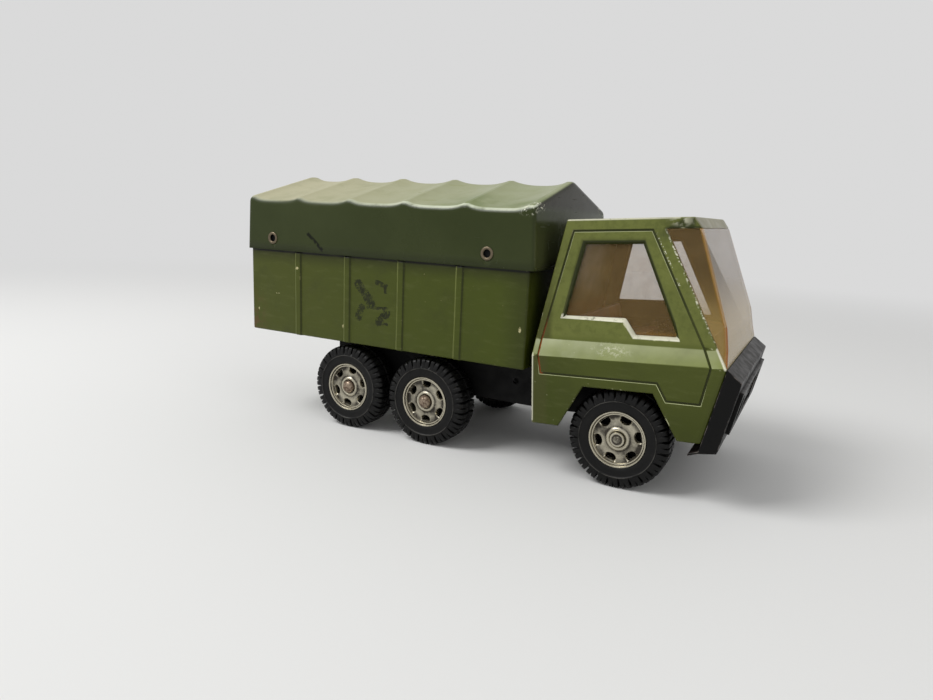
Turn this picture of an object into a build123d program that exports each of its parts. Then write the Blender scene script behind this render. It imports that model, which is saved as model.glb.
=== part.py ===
from build123d import *
import os
from math import atan2, cos, degrees, hypot, radians, sin, tan

# Toy military truck, a covered load box on three axles, in millimetres.
# +X is forward, +Y is the truck's left side, +Z is up, and z = 0 is the ground.

# Wheels: six alike, on three fixed pins
tyre_radius = 22.5
tyre_width = 15.0
tyre_face_y = 48.2
sidewall_radius = 17.6
shoulder_radius = 20.2
shoulder_width = 2.4
lug_count = 24
lug_height = 2.0
lug_length = 2.7
rim_radius = 12.8
rim_lip = 1.0
rim_step_radius = 11.2
dish_depth = 3.2
dish_draft = 0.5
rim_setback = 0.4
hub_wall = 1.2
hub_hole_count = 6
hub_hole_inner_radius = 7.6
hub_hole_outer_radius = 10.4
hub_hole_inner_half_width = 1.3
hub_hole_outer_half_width = 2.4
boss_radius = 4.8
boss_rise = 1.4
sleeve_radius = 3.6
axle_radius = 1.6
running_clearance = 0.05
seat_gap = 0.3
cap_radius = 3.3
cap_brim = 1.6
cap_rise = 1.3
cap_shoulder_radius = 2.1
cap_shoulder_rise = 1.0
cap_top_radius = 0.9

# Places of the axles, forward of the canopy's rear edge
rear_axle_from_tail = 69.3
middle_axle_from_tail = 118.1
front_axle_from_tail = 218.0
# Turn of each wheel at rest, clockwise as seen on the truck's right side
rear_wheel_turn = 10.0
middle_wheel_turn = 0.0
front_wheel_turn = 17.0

# Chassis: one pressed channel, bent up under the cab
chassis_top = 47.4
chassis_half_width = 31.0
chassis_bottom = 25.5
chassis_sheet = 1.0
chassis_rear_inset = 50.0
axle_lug_half_width = 4.6
axle_lug_foot_half_width = 2.4
axle_lug_notch = 2.0
chassis_hole_radius = 1.6
chassis_hole_from_cab = 16.0
chassis_hole_drop = 10.5

# Load box
box_half_width = 49.4
box_length = 170.6
box_inset_from_tail = 1.9
box_top = 104.5
box_sheet = 1.0
box_corner = 3.2
rib_count = 4
rib_spacing = 33.4
rib_first_from_box_rear = 34.8
rib_width = 4.0
rib_rise = 0.8
rib_head_gap = 0.3

# Canopy
canopy_length = 175.4
canopy_fit = 0.2
canopy_bottom = 93.2
canopy_eave = 121.6
canopy_apex = 135.5
canopy_wall = 1.0
canopy_end_lean = 2.4
canopy_edge_radius = 2.8
eave_radius = 3.2
apex_radius = 12.0
bay_count = 5
bay_sag = 2.2
bow_width = 1.8
end_bow_width = 4.2
ridge_reach = 3.0
canopy_rear_rim = 5.0

# Tubular rivets that hold the canopy to the box, their flanges outside
eyelet_from_tail = (19.3, 151.3)
eyelet_above_canopy_bottom = 6.4
eyelet_radius = 3.2
eyelet_bore = 2.0
eyelet_flange = 0.6
eyelet_bevel = 0.4

# Cab, in its own frame: x forward from its rear face, height over the chassis' top
cab_pitch = 3.55
cab_gap_to_box = 1.5
cab_lower_half_width = 50.65
cab_belt_half_width = 46.05
cab_roof_half_width = 40.3
cab_bottom = -23.6
belt_low = 8.2
belt_high = 15.4
screen_crease = 23.9
fascia_height = 63.8
cab_roof = 68.5
cab_nose_bottom_x = 75.1
cab_nose_top_x = 83.8
pillar_foot_x = 79.4
pillar_head_x = 56.1
roof_pillar_x = 61.1
roof_nose_x = 67.0
nose_corner = 2.0
screen_foot_x = 83.1
screen_crease_x = 82.1
screen_head_x = 70.1
quarter_slope = 0.25
cab_roof_rear_x = 12.5
cab_skin = 1.2
cab_upper_skin = 2.4
arch_rear_foot_x = 13.0
arch_rear_head_x = 24.4
arch_front_head_x = 54.9
arch_front_foot_x = 65.5
arch_height = -4.4
groove_width = 0.9
groove_depth = 0.5

# Side window, its outer outline in the cab's frame
window_rear_foot_x = 11.5
window_rear_head_x = 20.3
window_front_head_x = 47.4
window_front_foot_x = 65.0
window_head = 59.2
window_sill = 24.8
window_low_sill = 17.9
window_step_top_x = 40.0
window_step_foot_x = 44.8
window_bevel = 1.8
pane_thickness = 1.0

# Door line, in the cab's frame
door_rear_x = 4.3
door_foot = 0.2
door_step_x = 56.6
door_low_rear_x = 60.6
door_low_foot = -7.1
door_low_front_x = 74.1
door_belt_front_x = 77.6
door_front_head_x = 50.5
door_head = 63.4
door_rear_head_x = 15.9
door_rear_belt_x = 3.2

# Cab interior, one moulding on the chassis
floor_thickness = 1.2
interior_gap = 0.4
seat_rear_x = 12.0
seat_front_x = 36.0
seat_height = 11.0
seat_front_height = 12.0
seat_back_height = 24.0
seat_back_foot = 5.0
seat_back_head = 2.5
dash_rear_x = 58.0
dash_front_x = 72.0
dash_overhang = 1.0
dash_rail_height = 12.0
dash_top_rear_x = 60.0
dash_top_height = 17.0
dash_front_height = 15.0
floor_front_x = 74.0

# Grille and bumper, square to the cab's leaning nose
grille_depth = 7.0
grille_top_drop = 3.3
grille_bottom_reach = 3.3
grille_bottom_rise = 2.9
surround_rise = 1.6
surround_half_width = 44.0
surround_foot = 5.7
surround_head = 24.4
surround_corner = 1.5
bar_count = 5
bar_recess = 2.6
bar_field_half_width = 21.0
bar_margin = 2.4
bar_share = 0.5
bar_setback = 0.8
lamp_radius = 6.2
lamp_from_middle = 32.5
lamp_recess = 2.0
lip_thickness = 1.2
lip_reach = 3.6
lip_drop = 2.4

# Flats of the small turned pieces, and how far cutting shapes run past what they cut
small_ring_sides = 16
cut_margin = 1.0

# What follows from the sizes above
canopy_half_width = box_half_width + canopy_fit + canopy_wall
roof_slope = atan2(canopy_apex - canopy_eave, canopy_half_width)
eyelet_height = canopy_bottom + eyelet_above_canopy_bottom
pitch = radians(cab_pitch)
nose_length = hypot(cab_nose_top_x - cab_nose_bottom_x, belt_low - cab_bottom)
nose_lean = atan2(cab_nose_top_x - cab_nose_bottom_x, belt_low - cab_bottom)
cab_from_tail = canopy_length + cab_gap_to_box


def nose_point(out, up):
    """A point of the cab's side view, given square to the nose and along it from its foot."""
    x = cab_nose_bottom_x + out * cos(nose_lean) + up * sin(nose_lean)
    z = cab_bottom - out * sin(nose_lean) + up * cos(nose_lean)
    return x, z


front_x, front_z = nose_point(grille_depth + surround_rise, surround_head)
overall_length = cab_from_tail + front_x * cos(pitch) - front_z * sin(pitch)
tail_x = -overall_length / 2
cab_x = tail_x + cab_from_tail
hub_face_y = tyre_face_y - rim_setback
dish_y = hub_face_y - dish_depth
hub_inner_y = chassis_half_width + seat_gap
box_rear_x = tail_x + box_inset_from_tail
box_front_x = box_rear_x + box_length

forward = (cos(pitch), 0, sin(pitch))
upward = (-sin(pitch), 0, cos(pitch))
cab_side = Plane(origin=(cab_x, 0, chassis_top), x_dir=forward, z_dir=(0, -1, 0))
cab_plan = Plane(origin=(cab_x, 0, chassis_top), x_dir=forward, z_dir=upward)

os.makedirs("parts", exist_ok=True)


def keep(piece, name):
    """Label one finished sub-part and write it."""
    piece.label = name
    export_step(piece, f"parts/{name}.step")


# Chassis
wheel_rows = {
    "rear": (rear_axle_from_tail, rear_wheel_turn),
    "middle": (middle_axle_from_tail, middle_wheel_turn),
    "front": (front_axle_from_tail, front_wheel_turn),
}
chassis_rear_x = tail_x + chassis_rear_inset
chassis_nose = cab_nose_bottom_x - cab_skin - chassis_sheet
axle_places = [(tail_x + from_tail, tyre_radius) for from_tail, _ in wheel_rows.values()]
axle_lug = [
    (-axle_lug_half_width, (chassis_top - tyre_radius) / 2),
    (-axle_lug_half_width, 0),
    (-axle_lug_foot_half_width, -axle_lug_half_width),
    (axle_lug_foot_half_width, -axle_lug_half_width),
    (axle_lug_half_width, 0),
    (axle_lug_half_width, (chassis_top - tyre_radius) / 2),
]


def chassis_profile(sheet):
    """Corners of the chassis' side view, drawn in by the sheet on top and at its ends."""
    top = chassis_top - sheet
    nose_x = chassis_nose - sheet
    kink = (cab_x, top)
    nose_top = (cab_x + nose_x * cos(pitch) + sheet * sin(pitch), top + nose_x * sin(pitch))
    drop = chassis_top - chassis_bottom
    nose_bottom = (cab_x + nose_x * cos(pitch) + drop * sin(pitch), chassis_bottom + nose_x * sin(pitch))
    return [
        (chassis_rear_x + sheet, chassis_bottom),
        (chassis_rear_x + sheet, top),
        kink,
        nose_top,
        nose_bottom,
        (cab_x, chassis_bottom),
    ]


with BuildPart() as chassis:
    with BuildSketch(Plane.XZ):
        with BuildLine():
            Polyline(*chassis_profile(0), close=True)
        make_face()
    extrude(amount=chassis_half_width, both=True)
    with BuildSketch(Plane.XZ):
        with Locations(*axle_places):
            Polygon(*axle_lug, align=None)
    extrude(amount=chassis_half_width, both=True)
    with BuildSketch(Plane.XZ):
        with BuildLine():
            Polyline(*chassis_profile(chassis_sheet), close=True)
        make_face()
        with Locations(*axle_places):
            Rectangle(2 * (axle_lug_half_width + axle_lug_notch), 2 * (axle_lug_half_width + axle_lug_notch))
    extrude(amount=chassis_half_width - chassis_sheet, both=True, mode=Mode.SUBTRACT)
    with BuildSketch(Plane.XZ):
        with Locations(*axle_places):
            Circle(axle_radius + running_clearance)
        with Locations((cab_x - chassis_hole_from_cab, chassis_top - chassis_hole_drop)):
            Circle(chassis_hole_radius)
    extrude(amount=chassis_half_width + cut_margin, both=True, mode=Mode.SUBTRACT)
keep(chassis.part, "chassis")


def ring_of_flats(sections, sides, corner_up=False):
    """Many-sided solid round the Y axis, lofted through sections of y and height of a flat."""
    turn = 90.0 if corner_up else 90.0 + 180.0 / sides
    with BuildPart() as ring:
        for y, height in sections:
            with BuildSketch(Plane(origin=(0, y, 0), x_dir=(1, 0, 0), z_dir=(0, -1, 0))):
                RegularPolygon(height / cos(radians(180.0 / sides)), sides, rotation=turn)
        loft(ruled=True)
    return ring.part


# Axles and their end caps, which meet the axle's end face
axle_end_y = dish_y + boss_rise + seat_gap
cap = ring_of_flats([
    (0, cap_radius),
    (cap_brim, cap_radius),
    (cap_brim + cap_shoulder_rise, cap_shoulder_radius),
    (cap_brim + cap_rise, cap_top_radius),
], small_ring_sides)

for row, (from_tail, _) in wheel_rows.items():
    with BuildPart() as axle:
        with BuildSketch(Plane(origin=(tail_x + from_tail, -axle_end_y, tyre_radius), z_dir=(0, 1, 0))):
            Circle(axle_radius)
        extrude(amount=2 * axle_end_y)
    keep(axle.part, f"{row}_axle")
    with BuildPart() as caps:
        add(cap.moved(Location((tail_x + from_tail, axle_end_y, tyre_radius))))
        mirror(about=Plane.XZ)
    keep(caps.part, f"{row}_axle_caps")


# Wheels: made round the origin with the outer face towards -Y. Tyre and rim meet on flats, one to a lug.
def across(y):
    """A plane across the wheel's axis at y, with z outward."""
    return Plane(origin=(0, y, 0), x_dir=(1, 0, 0), z_dir=(0, -1, 0))


with BuildPart() as lugs:
    add(ring_of_flats([
        (0, tyre_radius - lug_height),
        (lug_height, tyre_radius),
        (tyre_width - lug_height, tyre_radius),
        (tyre_width, tyre_radius - lug_height),
    ], lug_count))
    with BuildSketch(across(tyre_width)):
        with PolarLocations((tyre_radius + rim_radius) / 2 + lug_height, lug_count, start_angle=90):
            Rectangle(tyre_radius - rim_radius, lug_length)
    extrude(amount=tyre_width, mode=Mode.INTERSECT)

with BuildPart() as tyre:
    add(ring_of_flats([
        (0, sidewall_radius),
        (shoulder_width, shoulder_radius),
        (tyre_width - shoulder_width, shoulder_radius),
        (tyre_width, sidewall_radius),
    ], lug_count, corner_up=True))
    add(lugs.part)
    add(ring_of_flats([(0, rim_radius), (tyre_width, rim_radius)], lug_count), mode=Mode.SUBTRACT)

hub_face = tyre_face_y - hub_face_y
dish = tyre_face_y - dish_y
hub_end = tyre_width - rim_setback
hub_back = tyre_face_y - hub_inner_y
bore_radius = axle_radius + running_clearance
with BuildPart() as hub_blank:
    add(ring_of_flats([(hub_face, rim_radius), (hub_end, rim_radius)], lug_count))
    add(ring_of_flats([
        (hub_face, rim_radius - rim_lip),
        (hub_face + rim_lip, rim_step_radius),
        (dish, rim_step_radius - dish_draft),
    ], lug_count), mode=Mode.SUBTRACT)
    add(ring_of_flats([
        (dish + hub_wall, rim_step_radius - dish_draft),
        (hub_end, rim_radius - rim_lip),
    ], lug_count), mode=Mode.SUBTRACT)
    add(ring_of_flats([(dish - boss_rise, boss_radius - dish_draft), (dish, boss_radius)], small_ring_sides))
    add(ring_of_flats([(dish + hub_wall, sleeve_radius), (hub_back, sleeve_radius)], small_ring_sides))
    with BuildSketch(across(hub_back)):
        Circle(bore_radius)
    extrude(amount=hub_back, mode=Mode.SUBTRACT)

hub_hole_middle = (hub_hole_inner_radius + hub_hole_outer_radius) / 2
hub_hole = [
    (hub_hole_inner_radius, hub_hole_inner_half_width),
    (hub_hole_inner_radius, -hub_hole_inner_half_width),
    (hub_hole_middle, -hub_hole_outer_half_width),
    (hub_hole_outer_radius, -hub_hole_outer_half_width),
    (hub_hole_outer_radius, hub_hole_outer_half_width),
    (hub_hole_middle, hub_hole_outer_half_width),
]
for row, (from_tail, turn) in wheel_rows.items():
    wheel_place = Location((tail_x + from_tail, -tyre_face_y, tyre_radius))
    with BuildPart() as hub:
        add(hub_blank.part)
        with BuildSketch(across(dish + hub_wall)):
            with PolarLocations(0, hub_hole_count, start_angle=90 - turn):
                Polygon(*hub_hole, align=None)
        extrude(amount=hub_wall, mode=Mode.SUBTRACT)
    right_tyre = tyre.part.moved(wheel_place)
    right_hub = hub.part.moved(wheel_place)
    keep(right_tyre, f"{row}_right_tyre")
    keep(right_hub, f"{row}_right_hub")
    keep(right_tyre.mirror(Plane.XZ), f"{row}_left_tyre")
    keep(right_hub.mirror(Plane.XZ), f"{row}_left_hub")


# Load box: an open pressed tray with rounded corners, and ribs pressed out of its long walls
box_middle_x = (box_rear_x + box_front_x) / 2


def rib_beads(half_width):
    """Plan outlines of the ribs' rounded fronts on both long walls."""
    with BuildSketch() as beads:
        for number in range(rib_count):
            rib_x = box_rear_x + rib_first_from_box_rear + rib_spacing * number
            for side in (1, -1):
                foot = side * half_width
                with BuildLine():
                    ThreePointArc(
                        (rib_x - rib_width / 2, foot),
                        (rib_x, foot + side * rib_rise),
                        (rib_x + rib_width / 2, foot),
                    )
                    Line((rib_x + rib_width / 2, foot), (rib_x - rib_width / 2, foot))
                make_face()
    return beads.sketch


with BuildPart() as load_box:
    with BuildSketch(Plane.XY.offset(chassis_top)):
        with Locations((box_middle_x, 0)):
            RectangleRounded(box_length, 2 * box_half_width, box_corner)
    extrude(amount=box_top - chassis_top)
    with BuildSketch(Plane.XY.offset(chassis_top)):
        add(rib_beads(box_half_width))
    extrude(amount=canopy_bottom - rib_head_gap - chassis_top)
    with BuildSketch(Plane.XY.offset(chassis_top + box_sheet)):
        with Locations((box_middle_x, 0)):
            RectangleRounded(box_length - 2 * box_sheet, 2 * (box_half_width - box_sheet), box_corner - box_sheet)
    extrude(amount=box_top - chassis_top, mode=Mode.SUBTRACT)
    with BuildSketch(Plane.XY.offset(chassis_top + box_sheet)):
        add(rib_beads(box_half_width - box_sheet))
    extrude(amount=canopy_bottom - rib_head_gap - chassis_top - 2 * box_sheet, mode=Mode.SUBTRACT)
keep(load_box.part, "load_box")


# Canopy: gabled shell with a scooped bay between each pair of bows
bay_length = (canopy_length - 2 * end_bow_width - (bay_count - 1) * bow_width) / bay_count


def scoops(apex):
    """The cuts that hollow the right slope between the bows, for a roof with its ridge at the apex."""
    down_slope = (0, -cos(roof_slope), -sin(roof_slope))
    start = Vector(tail_x, 0, apex) - Vector(*down_slope) * ridge_reach
    with BuildPart() as cuts:
        with BuildSketch(Plane(origin=start, x_dir=(1, 0, 0), z_dir=down_slope)):
            for number in range(bay_count):
                left = end_bow_width + number * (bay_length + bow_width)
                right = left + bay_length
                with BuildLine():
                    ThreePointArc((left, 0), ((left + right) / 2, -bay_sag), (right, 0))
                    Polyline((right, 0), (right, cut_margin), (left, cut_margin), (left, 0))
                make_face()
        extrude(amount=2 * ridge_reach + canopy_half_width / cos(roof_slope), dir=down_slope)
    return cuts.part


def canopy_solid(inset):
    """The canopy's closed form, drawn in by a wall from its outer surface."""
    half = canopy_half_width - inset
    apex = canopy_apex - inset / cos(roof_slope)
    eave = apex - half * tan(roof_slope)
    rear = tail_x + inset
    front = tail_x + canopy_length - inset
    with BuildPart() as solid:
        with BuildSketch(Plane.YZ.offset(rear)) as gable:
            with BuildLine():
                Polyline(
                    (half, canopy_bottom),
                    (half, eave),
                    (0, apex),
                    (-half, eave),
                    (-half, canopy_bottom),
                    close=True,
                )
            make_face()
            fillet(gable.vertices().sort_by(Axis.Y)[2:4], eave_radius - inset)
            fillet(gable.vertices().sort_by(Axis.Y)[-1], apex_radius - inset)
        extrude(amount=front - rear)
        with BuildSketch(Plane.XZ):
            with BuildLine():
                Polyline(
                    (rear, canopy_bottom),
                    (rear + canopy_end_lean, canopy_apex),
                    (front - canopy_end_lean, canopy_apex),
                    (front, canopy_bottom),
                    close=True,
                )
            make_face()
        extrude(amount=canopy_half_width, both=True, mode=Mode.INTERSECT)
        ends = solid.faces().filter_by(lambda f: abs(f.normal_at().X) > cos(roof_slope))
        end_edges = ends.edges().filter_by(lambda e: e.center().Z > canopy_bottom + cut_margin)
        if inset:
            chamfer(end_edges, inset)
        else:
            fillet(end_edges, canopy_edge_radius)
        add(scoops(apex), mode=Mode.SUBTRACT)
        split(bisect_by=Plane.XZ, keep=Keep.TOP)
        mirror(about=Plane.XZ)
    return solid.part


outer_canopy = canopy_solid(0)
inner_canopy = canopy_solid(canopy_wall)
mouth_half = canopy_half_width - canopy_rear_rim
mouth_apex = canopy_apex - canopy_rear_rim - bay_sag
with BuildPart() as canopy:
    add(outer_canopy)
    add(inner_canopy, mode=Mode.SUBTRACT)
    with BuildSketch(Plane.YZ.offset(tail_x)):
        with BuildLine():
            Polyline(
                (mouth_half, canopy_bottom),
                (mouth_half, mouth_apex - mouth_half * tan(roof_slope)),
                (0, mouth_apex),
                (-mouth_half, mouth_apex - mouth_half * tan(roof_slope)),
                (-mouth_half, canopy_bottom),
                close=True,
            )
        make_face()
    extrude(amount=canopy_end_lean + 2 * canopy_wall, mode=Mode.SUBTRACT)
keep(canopy.part, "canopy")


# Tubular rivets: the flanged mouth of each, seated on the canopy's side
with BuildPart() as eyelet:
    add(ring_of_flats([(0, eyelet_radius), (eyelet_flange, eyelet_radius - eyelet_bevel)], small_ring_sides))
    add(ring_of_flats([(0, eyelet_bore), (eyelet_flange, eyelet_bore)], small_ring_sides), mode=Mode.SUBTRACT)

with BuildPart() as eyelets:
    for from_tail in eyelet_from_tail:
        add(eyelet.part.moved(Location((tail_x + from_tail, canopy_half_width, eyelet_height))))
    mirror(about=Plane.XZ)
keep(eyelets.part, "eyelets")


# Cab: plan outlines at the heights where its faces fold. The quarter panels slope inward alike at every level.
cab_levels = [
    # height, rear x, side y, pillar x, corner x
    (cab_bottom, 0, cab_lower_half_width, cab_nose_bottom_x - nose_corner, cab_nose_bottom_x),
    (belt_low, 0, cab_lower_half_width, cab_nose_top_x - nose_corner, cab_nose_top_x),
    (belt_high, 0, cab_belt_half_width, pillar_foot_x, screen_foot_x),
    (screen_crease, None, None, None, screen_crease_x),
    (fascia_height, None, None, pillar_head_x, screen_head_x),
    (cab_roof, cab_roof_rear_x, cab_roof_half_width, roof_pillar_x, roof_nose_x),
]


def cab_value(column, height):
    """One column of the cab's table at any height, straight between the levels that give it."""
    given = [(level[0], level[column]) for level in cab_levels if level[column] is not None]
    for (low, start), (high, end) in zip(given, given[1:]):
        if height <= high:
            break
    return start + (end - start) * (height - low) / (high - low)


def cab_volume(lower_skin, upper_skin):
    """The cab's closed form, drawn in by a skin that may be thicker above the belt."""
    heights = [level[0] for level in cab_levels]
    heights[-1] = cab_roof - upper_skin
    if lower_skin > 0:
        heights[0] = cab_bottom - cut_margin
    with BuildPart() as volume:
        for band in zip(heights, heights[1:]):
            for height in band:
                skin = upper_skin if height >= belt_high else lower_skin
                rear, side, pillar, corner = [cab_value(column, height) for column in range(1, 5)]
                corner_y = side - quarter_slope * (corner - pillar) - skin
                with BuildSketch(cab_plan.offset(height)):
                    with BuildLine():
                        Polyline(
                            (rear + skin, side - skin),
                            (pillar - skin, side - skin),
                            (corner - skin, corner_y),
                            (corner - skin, -corner_y),
                            (pillar - skin, -side + skin),
                            (rear + skin, -side + skin),
                            close=True,
                        )
                    make_face()
            loft(ruled=True)
    return volume.part


outer_cab = cab_volume(0, 0)
screen_zone = [
    (cab_nose_top_x, belt_low),
    (pillar_foot_x, belt_high),
    (pillar_head_x, fascia_height),
    (screen_head_x, fascia_height),
    (screen_head_x + grille_depth * 2, fascia_height),
    (cab_nose_top_x + grille_depth * 2, belt_low),
]
window_outline = [
    (window_rear_foot_x, window_sill),
    (window_rear_head_x, window_head),
    (window_front_head_x, window_head),
    (window_front_foot_x, window_low_sill),
    (window_step_foot_x, window_low_sill),
    (window_step_top_x, window_sill),
]
door_outline = [
    (door_rear_x, door_foot),
    (door_step_x, door_foot),
    (door_low_rear_x, door_low_foot),
    (door_low_front_x, door_low_foot),
    (door_belt_front_x, belt_low),
    (door_front_head_x, door_head),
    (door_rear_head_x, door_head),
    (door_rear_belt_x, belt_high),
    (door_rear_belt_x, belt_low),
]

with BuildPart() as groove_band:
    add(outer_cab)
    add(cab_volume(groove_depth, groove_depth), mode=Mode.SUBTRACT)
    with BuildSketch(cab_side):
        with BuildLine():
            Polyline(*door_outline, close=True)
        make_face()
        offset(amount=groove_width / 2, kind=Kind.INTERSECTION, mode=Mode.REPLACE)
        with BuildLine():
            Polyline(*door_outline, close=True)
        inner_door = make_face(mode=Mode.PRIVATE)
        offset(inner_door, amount=-groove_width / 2, kind=Kind.INTERSECTION, mode=Mode.SUBTRACT)
    extrude(amount=cab_lower_half_width + cut_margin, both=True, mode=Mode.INTERSECT)

# The window's sides are bevelled square to the leaning wall above the belt
side_lean = atan2(cab_belt_half_width - cab_roof_half_width, cab_roof - belt_high)
window_face = Plane(
    origin=cab_plan.from_local_coords((0, -cab_belt_half_width, belt_high)),
    x_dir=forward,
    z_dir=(upward[0] * sin(side_lean), -cos(side_lean), upward[2] * sin(side_lean)),
)
bevel_angle = degrees(atan2(window_bevel, cab_upper_skin))
with BuildPart() as window_cutter:
    with BuildSketch(window_face):
        with BuildLine():
            Polyline(*[(x, (height - belt_high) / cos(side_lean)) for x, height in window_outline], close=True)
        make_face()
    extrude(amount=-cab_upper_skin - cut_margin, taper=bevel_angle)
    mirror(about=Plane.XZ)

with BuildPart() as cab_shell:
    add(outer_cab)
    add(cab_volume(cab_skin, cab_upper_skin), mode=Mode.SUBTRACT)
    with BuildSketch(cab_side):
        with BuildLine():
            Polyline(*screen_zone, close=True)
        make_face()
        with BuildLine():
            Polyline(
                (arch_rear_foot_x, cab_bottom),
                (arch_rear_head_x, arch_height),
                (arch_front_head_x, arch_height),
                (arch_front_foot_x, cab_bottom),
                (arch_front_foot_x, cab_bottom - cut_margin),
                (arch_rear_foot_x, cab_bottom - cut_margin),
                close=True,
            )
        make_face()
    extrude(amount=cab_lower_half_width + cut_margin, both=True, mode=Mode.SUBTRACT)
    add(window_cutter.part, mode=Mode.SUBTRACT)
    with BuildSketch(cab_plan.offset(cab_bottom - cut_margin)):
        with Locations((-cab_skin, 0)):
            Rectangle(4 * cab_skin, 2 * (chassis_half_width + seat_gap), align=(Align.MIN, Align.CENTER))
    extrude(amount=cut_margin - cab_bottom, mode=Mode.SUBTRACT)
    add(groove_band.part, mode=Mode.SUBTRACT)
keep(cab_shell.part, "cab_shell")


# Glazing: a windscreen that wraps round to the pillars, and a pane behind each side window
with BuildPart() as glazing:
    add(outer_cab)
    add(cab_volume(pane_thickness, pane_thickness), mode=Mode.SUBTRACT)
    with BuildSketch(cab_side):
        with BuildLine():
            Polyline(*screen_zone, close=True)
        make_face()
    extrude(amount=cab_lower_half_width + cut_margin, both=True, mode=Mode.INTERSECT)
    with BuildPart(mode=Mode.PRIVATE) as panes:
        add(cab_volume(cab_skin, cab_upper_skin))
        add(cab_volume(cab_skin, cab_upper_skin + pane_thickness), mode=Mode.SUBTRACT)
        with BuildSketch(cab_side):
            with BuildLine():
                Polyline(*window_outline, close=True)
            make_face()
        extrude(amount=cab_lower_half_width + cut_margin, both=True, mode=Mode.INTERSECT)
    add(panes.part)
keep(glazing.part, "glazing")


# Cab interior: floor, bench and dash in one moulding
floor_half_width = cab_lower_half_width - cab_skin - interior_gap
bench_half_width = cab_value(2, seat_back_height) - cab_upper_skin - pane_thickness - interior_gap
bench_outline = [
    (seat_rear_x, 0),
    (seat_rear_x, seat_back_height),
    (seat_rear_x + seat_back_head, seat_back_height),
    (seat_rear_x + seat_back_foot, seat_height),
    (seat_front_x, seat_front_height),
    (seat_front_x, 0),
]
dash_outline = [
    (dash_rear_x, 0),
    (dash_rear_x - dash_overhang, dash_rail_height),
    (dash_top_rear_x, dash_top_height),
    (dash_front_x, dash_front_height),
    (dash_front_x, 0),
]
floor_outline = [
    (cab_skin + interior_gap, 0),
    (cab_skin + interior_gap, floor_thickness),
    (floor_front_x, floor_thickness),
    (floor_front_x, 0),
]
with BuildPart() as cab_interior:
    for outline, half_width in (
        (bench_outline, bench_half_width),
        (dash_outline, bench_half_width),
        (floor_outline, floor_half_width),
    ):
        with BuildSketch(cab_side):
            with BuildLine():
                Polyline(*outline, close=True)
            make_face()
        extrude(amount=half_width, both=True)
keep(cab_interior.part, "cab_interior")


# Grille and bumper: one moulding on the nose
nose_foot_x, nose_foot_z = nose_point(0, 0)
lean = pitch - nose_lean
nose_origin = (
    cab_x + nose_foot_x * cos(pitch) - nose_foot_z * sin(pitch),
    0,
    chassis_top + nose_foot_x * sin(pitch) + nose_foot_z * cos(pitch),
)
nose_out = (cos(lean), 0, sin(lean))
nose_side = Plane(origin=nose_origin, x_dir=nose_out, z_dir=(0, -1, 0))
nose_front = Plane(origin=nose_origin, x_dir=(0, 1, 0), z_dir=nose_out)
surround_middle = (surround_foot + surround_head) / 2
bar_field_height = surround_head - surround_foot - 2 * bar_margin
bar_step = bar_field_height / bar_count

with BuildPart() as grille:
    with BuildSketch(nose_side):
        with BuildLine():
            Polyline(
                (0, -grille_bottom_reach),
                (grille_depth, grille_bottom_rise - grille_bottom_reach),
                (grille_depth, nose_length - grille_top_drop),
                (0, nose_length),
                close=True,
            )
        make_face()
        with BuildLine():
            Polyline(
                (grille_depth, grille_bottom_rise - grille_bottom_reach),
                (grille_depth, grille_bottom_rise - grille_bottom_reach - lip_thickness),
                (0, -grille_bottom_reach - lip_thickness),
                (-lip_reach, -grille_bottom_reach - lip_thickness - lip_drop),
                (-lip_reach, -grille_bottom_reach - lip_drop),
                (0, -grille_bottom_reach),
                close=True,
            )
        make_face()
    extrude(amount=cab_lower_half_width, both=True)
    with BuildSketch(nose_front.offset(grille_depth)):
        with Locations((0, surround_middle)):
            RectangleRounded(2 * surround_half_width, surround_head - surround_foot, surround_corner)
    extrude(amount=surround_rise)
    with BuildSketch(nose_front.offset(grille_depth + surround_rise)):
        with Locations((0, surround_middle)):
            Rectangle(2 * bar_field_half_width, bar_field_height)
    extrude(amount=-surround_rise - bar_recess, mode=Mode.SUBTRACT)
    with BuildSketch(nose_front.offset(grille_depth + surround_rise - bar_setback)):
        for number in range(1, bar_count):
            with Locations((0, surround_foot + bar_margin + bar_step * number)):
                Rectangle(2 * bar_field_half_width, bar_step * bar_share)
    extrude(amount=bar_setback - surround_rise - bar_recess)
    with BuildSketch(nose_front.offset(grille_depth + surround_rise)):
        with Locations(*[(side * lamp_from_middle, surround_middle) for side in (-1, 1)]):
            Circle(lamp_radius)
    extrude(amount=-lamp_recess, mode=Mode.SUBTRACT)
keep(grille.part, "grille")
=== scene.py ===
from math import atan2, cos, pi, radians, sin, tan

import bmesh
import bpy
from mathutils import Matrix, Vector, noise


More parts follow.
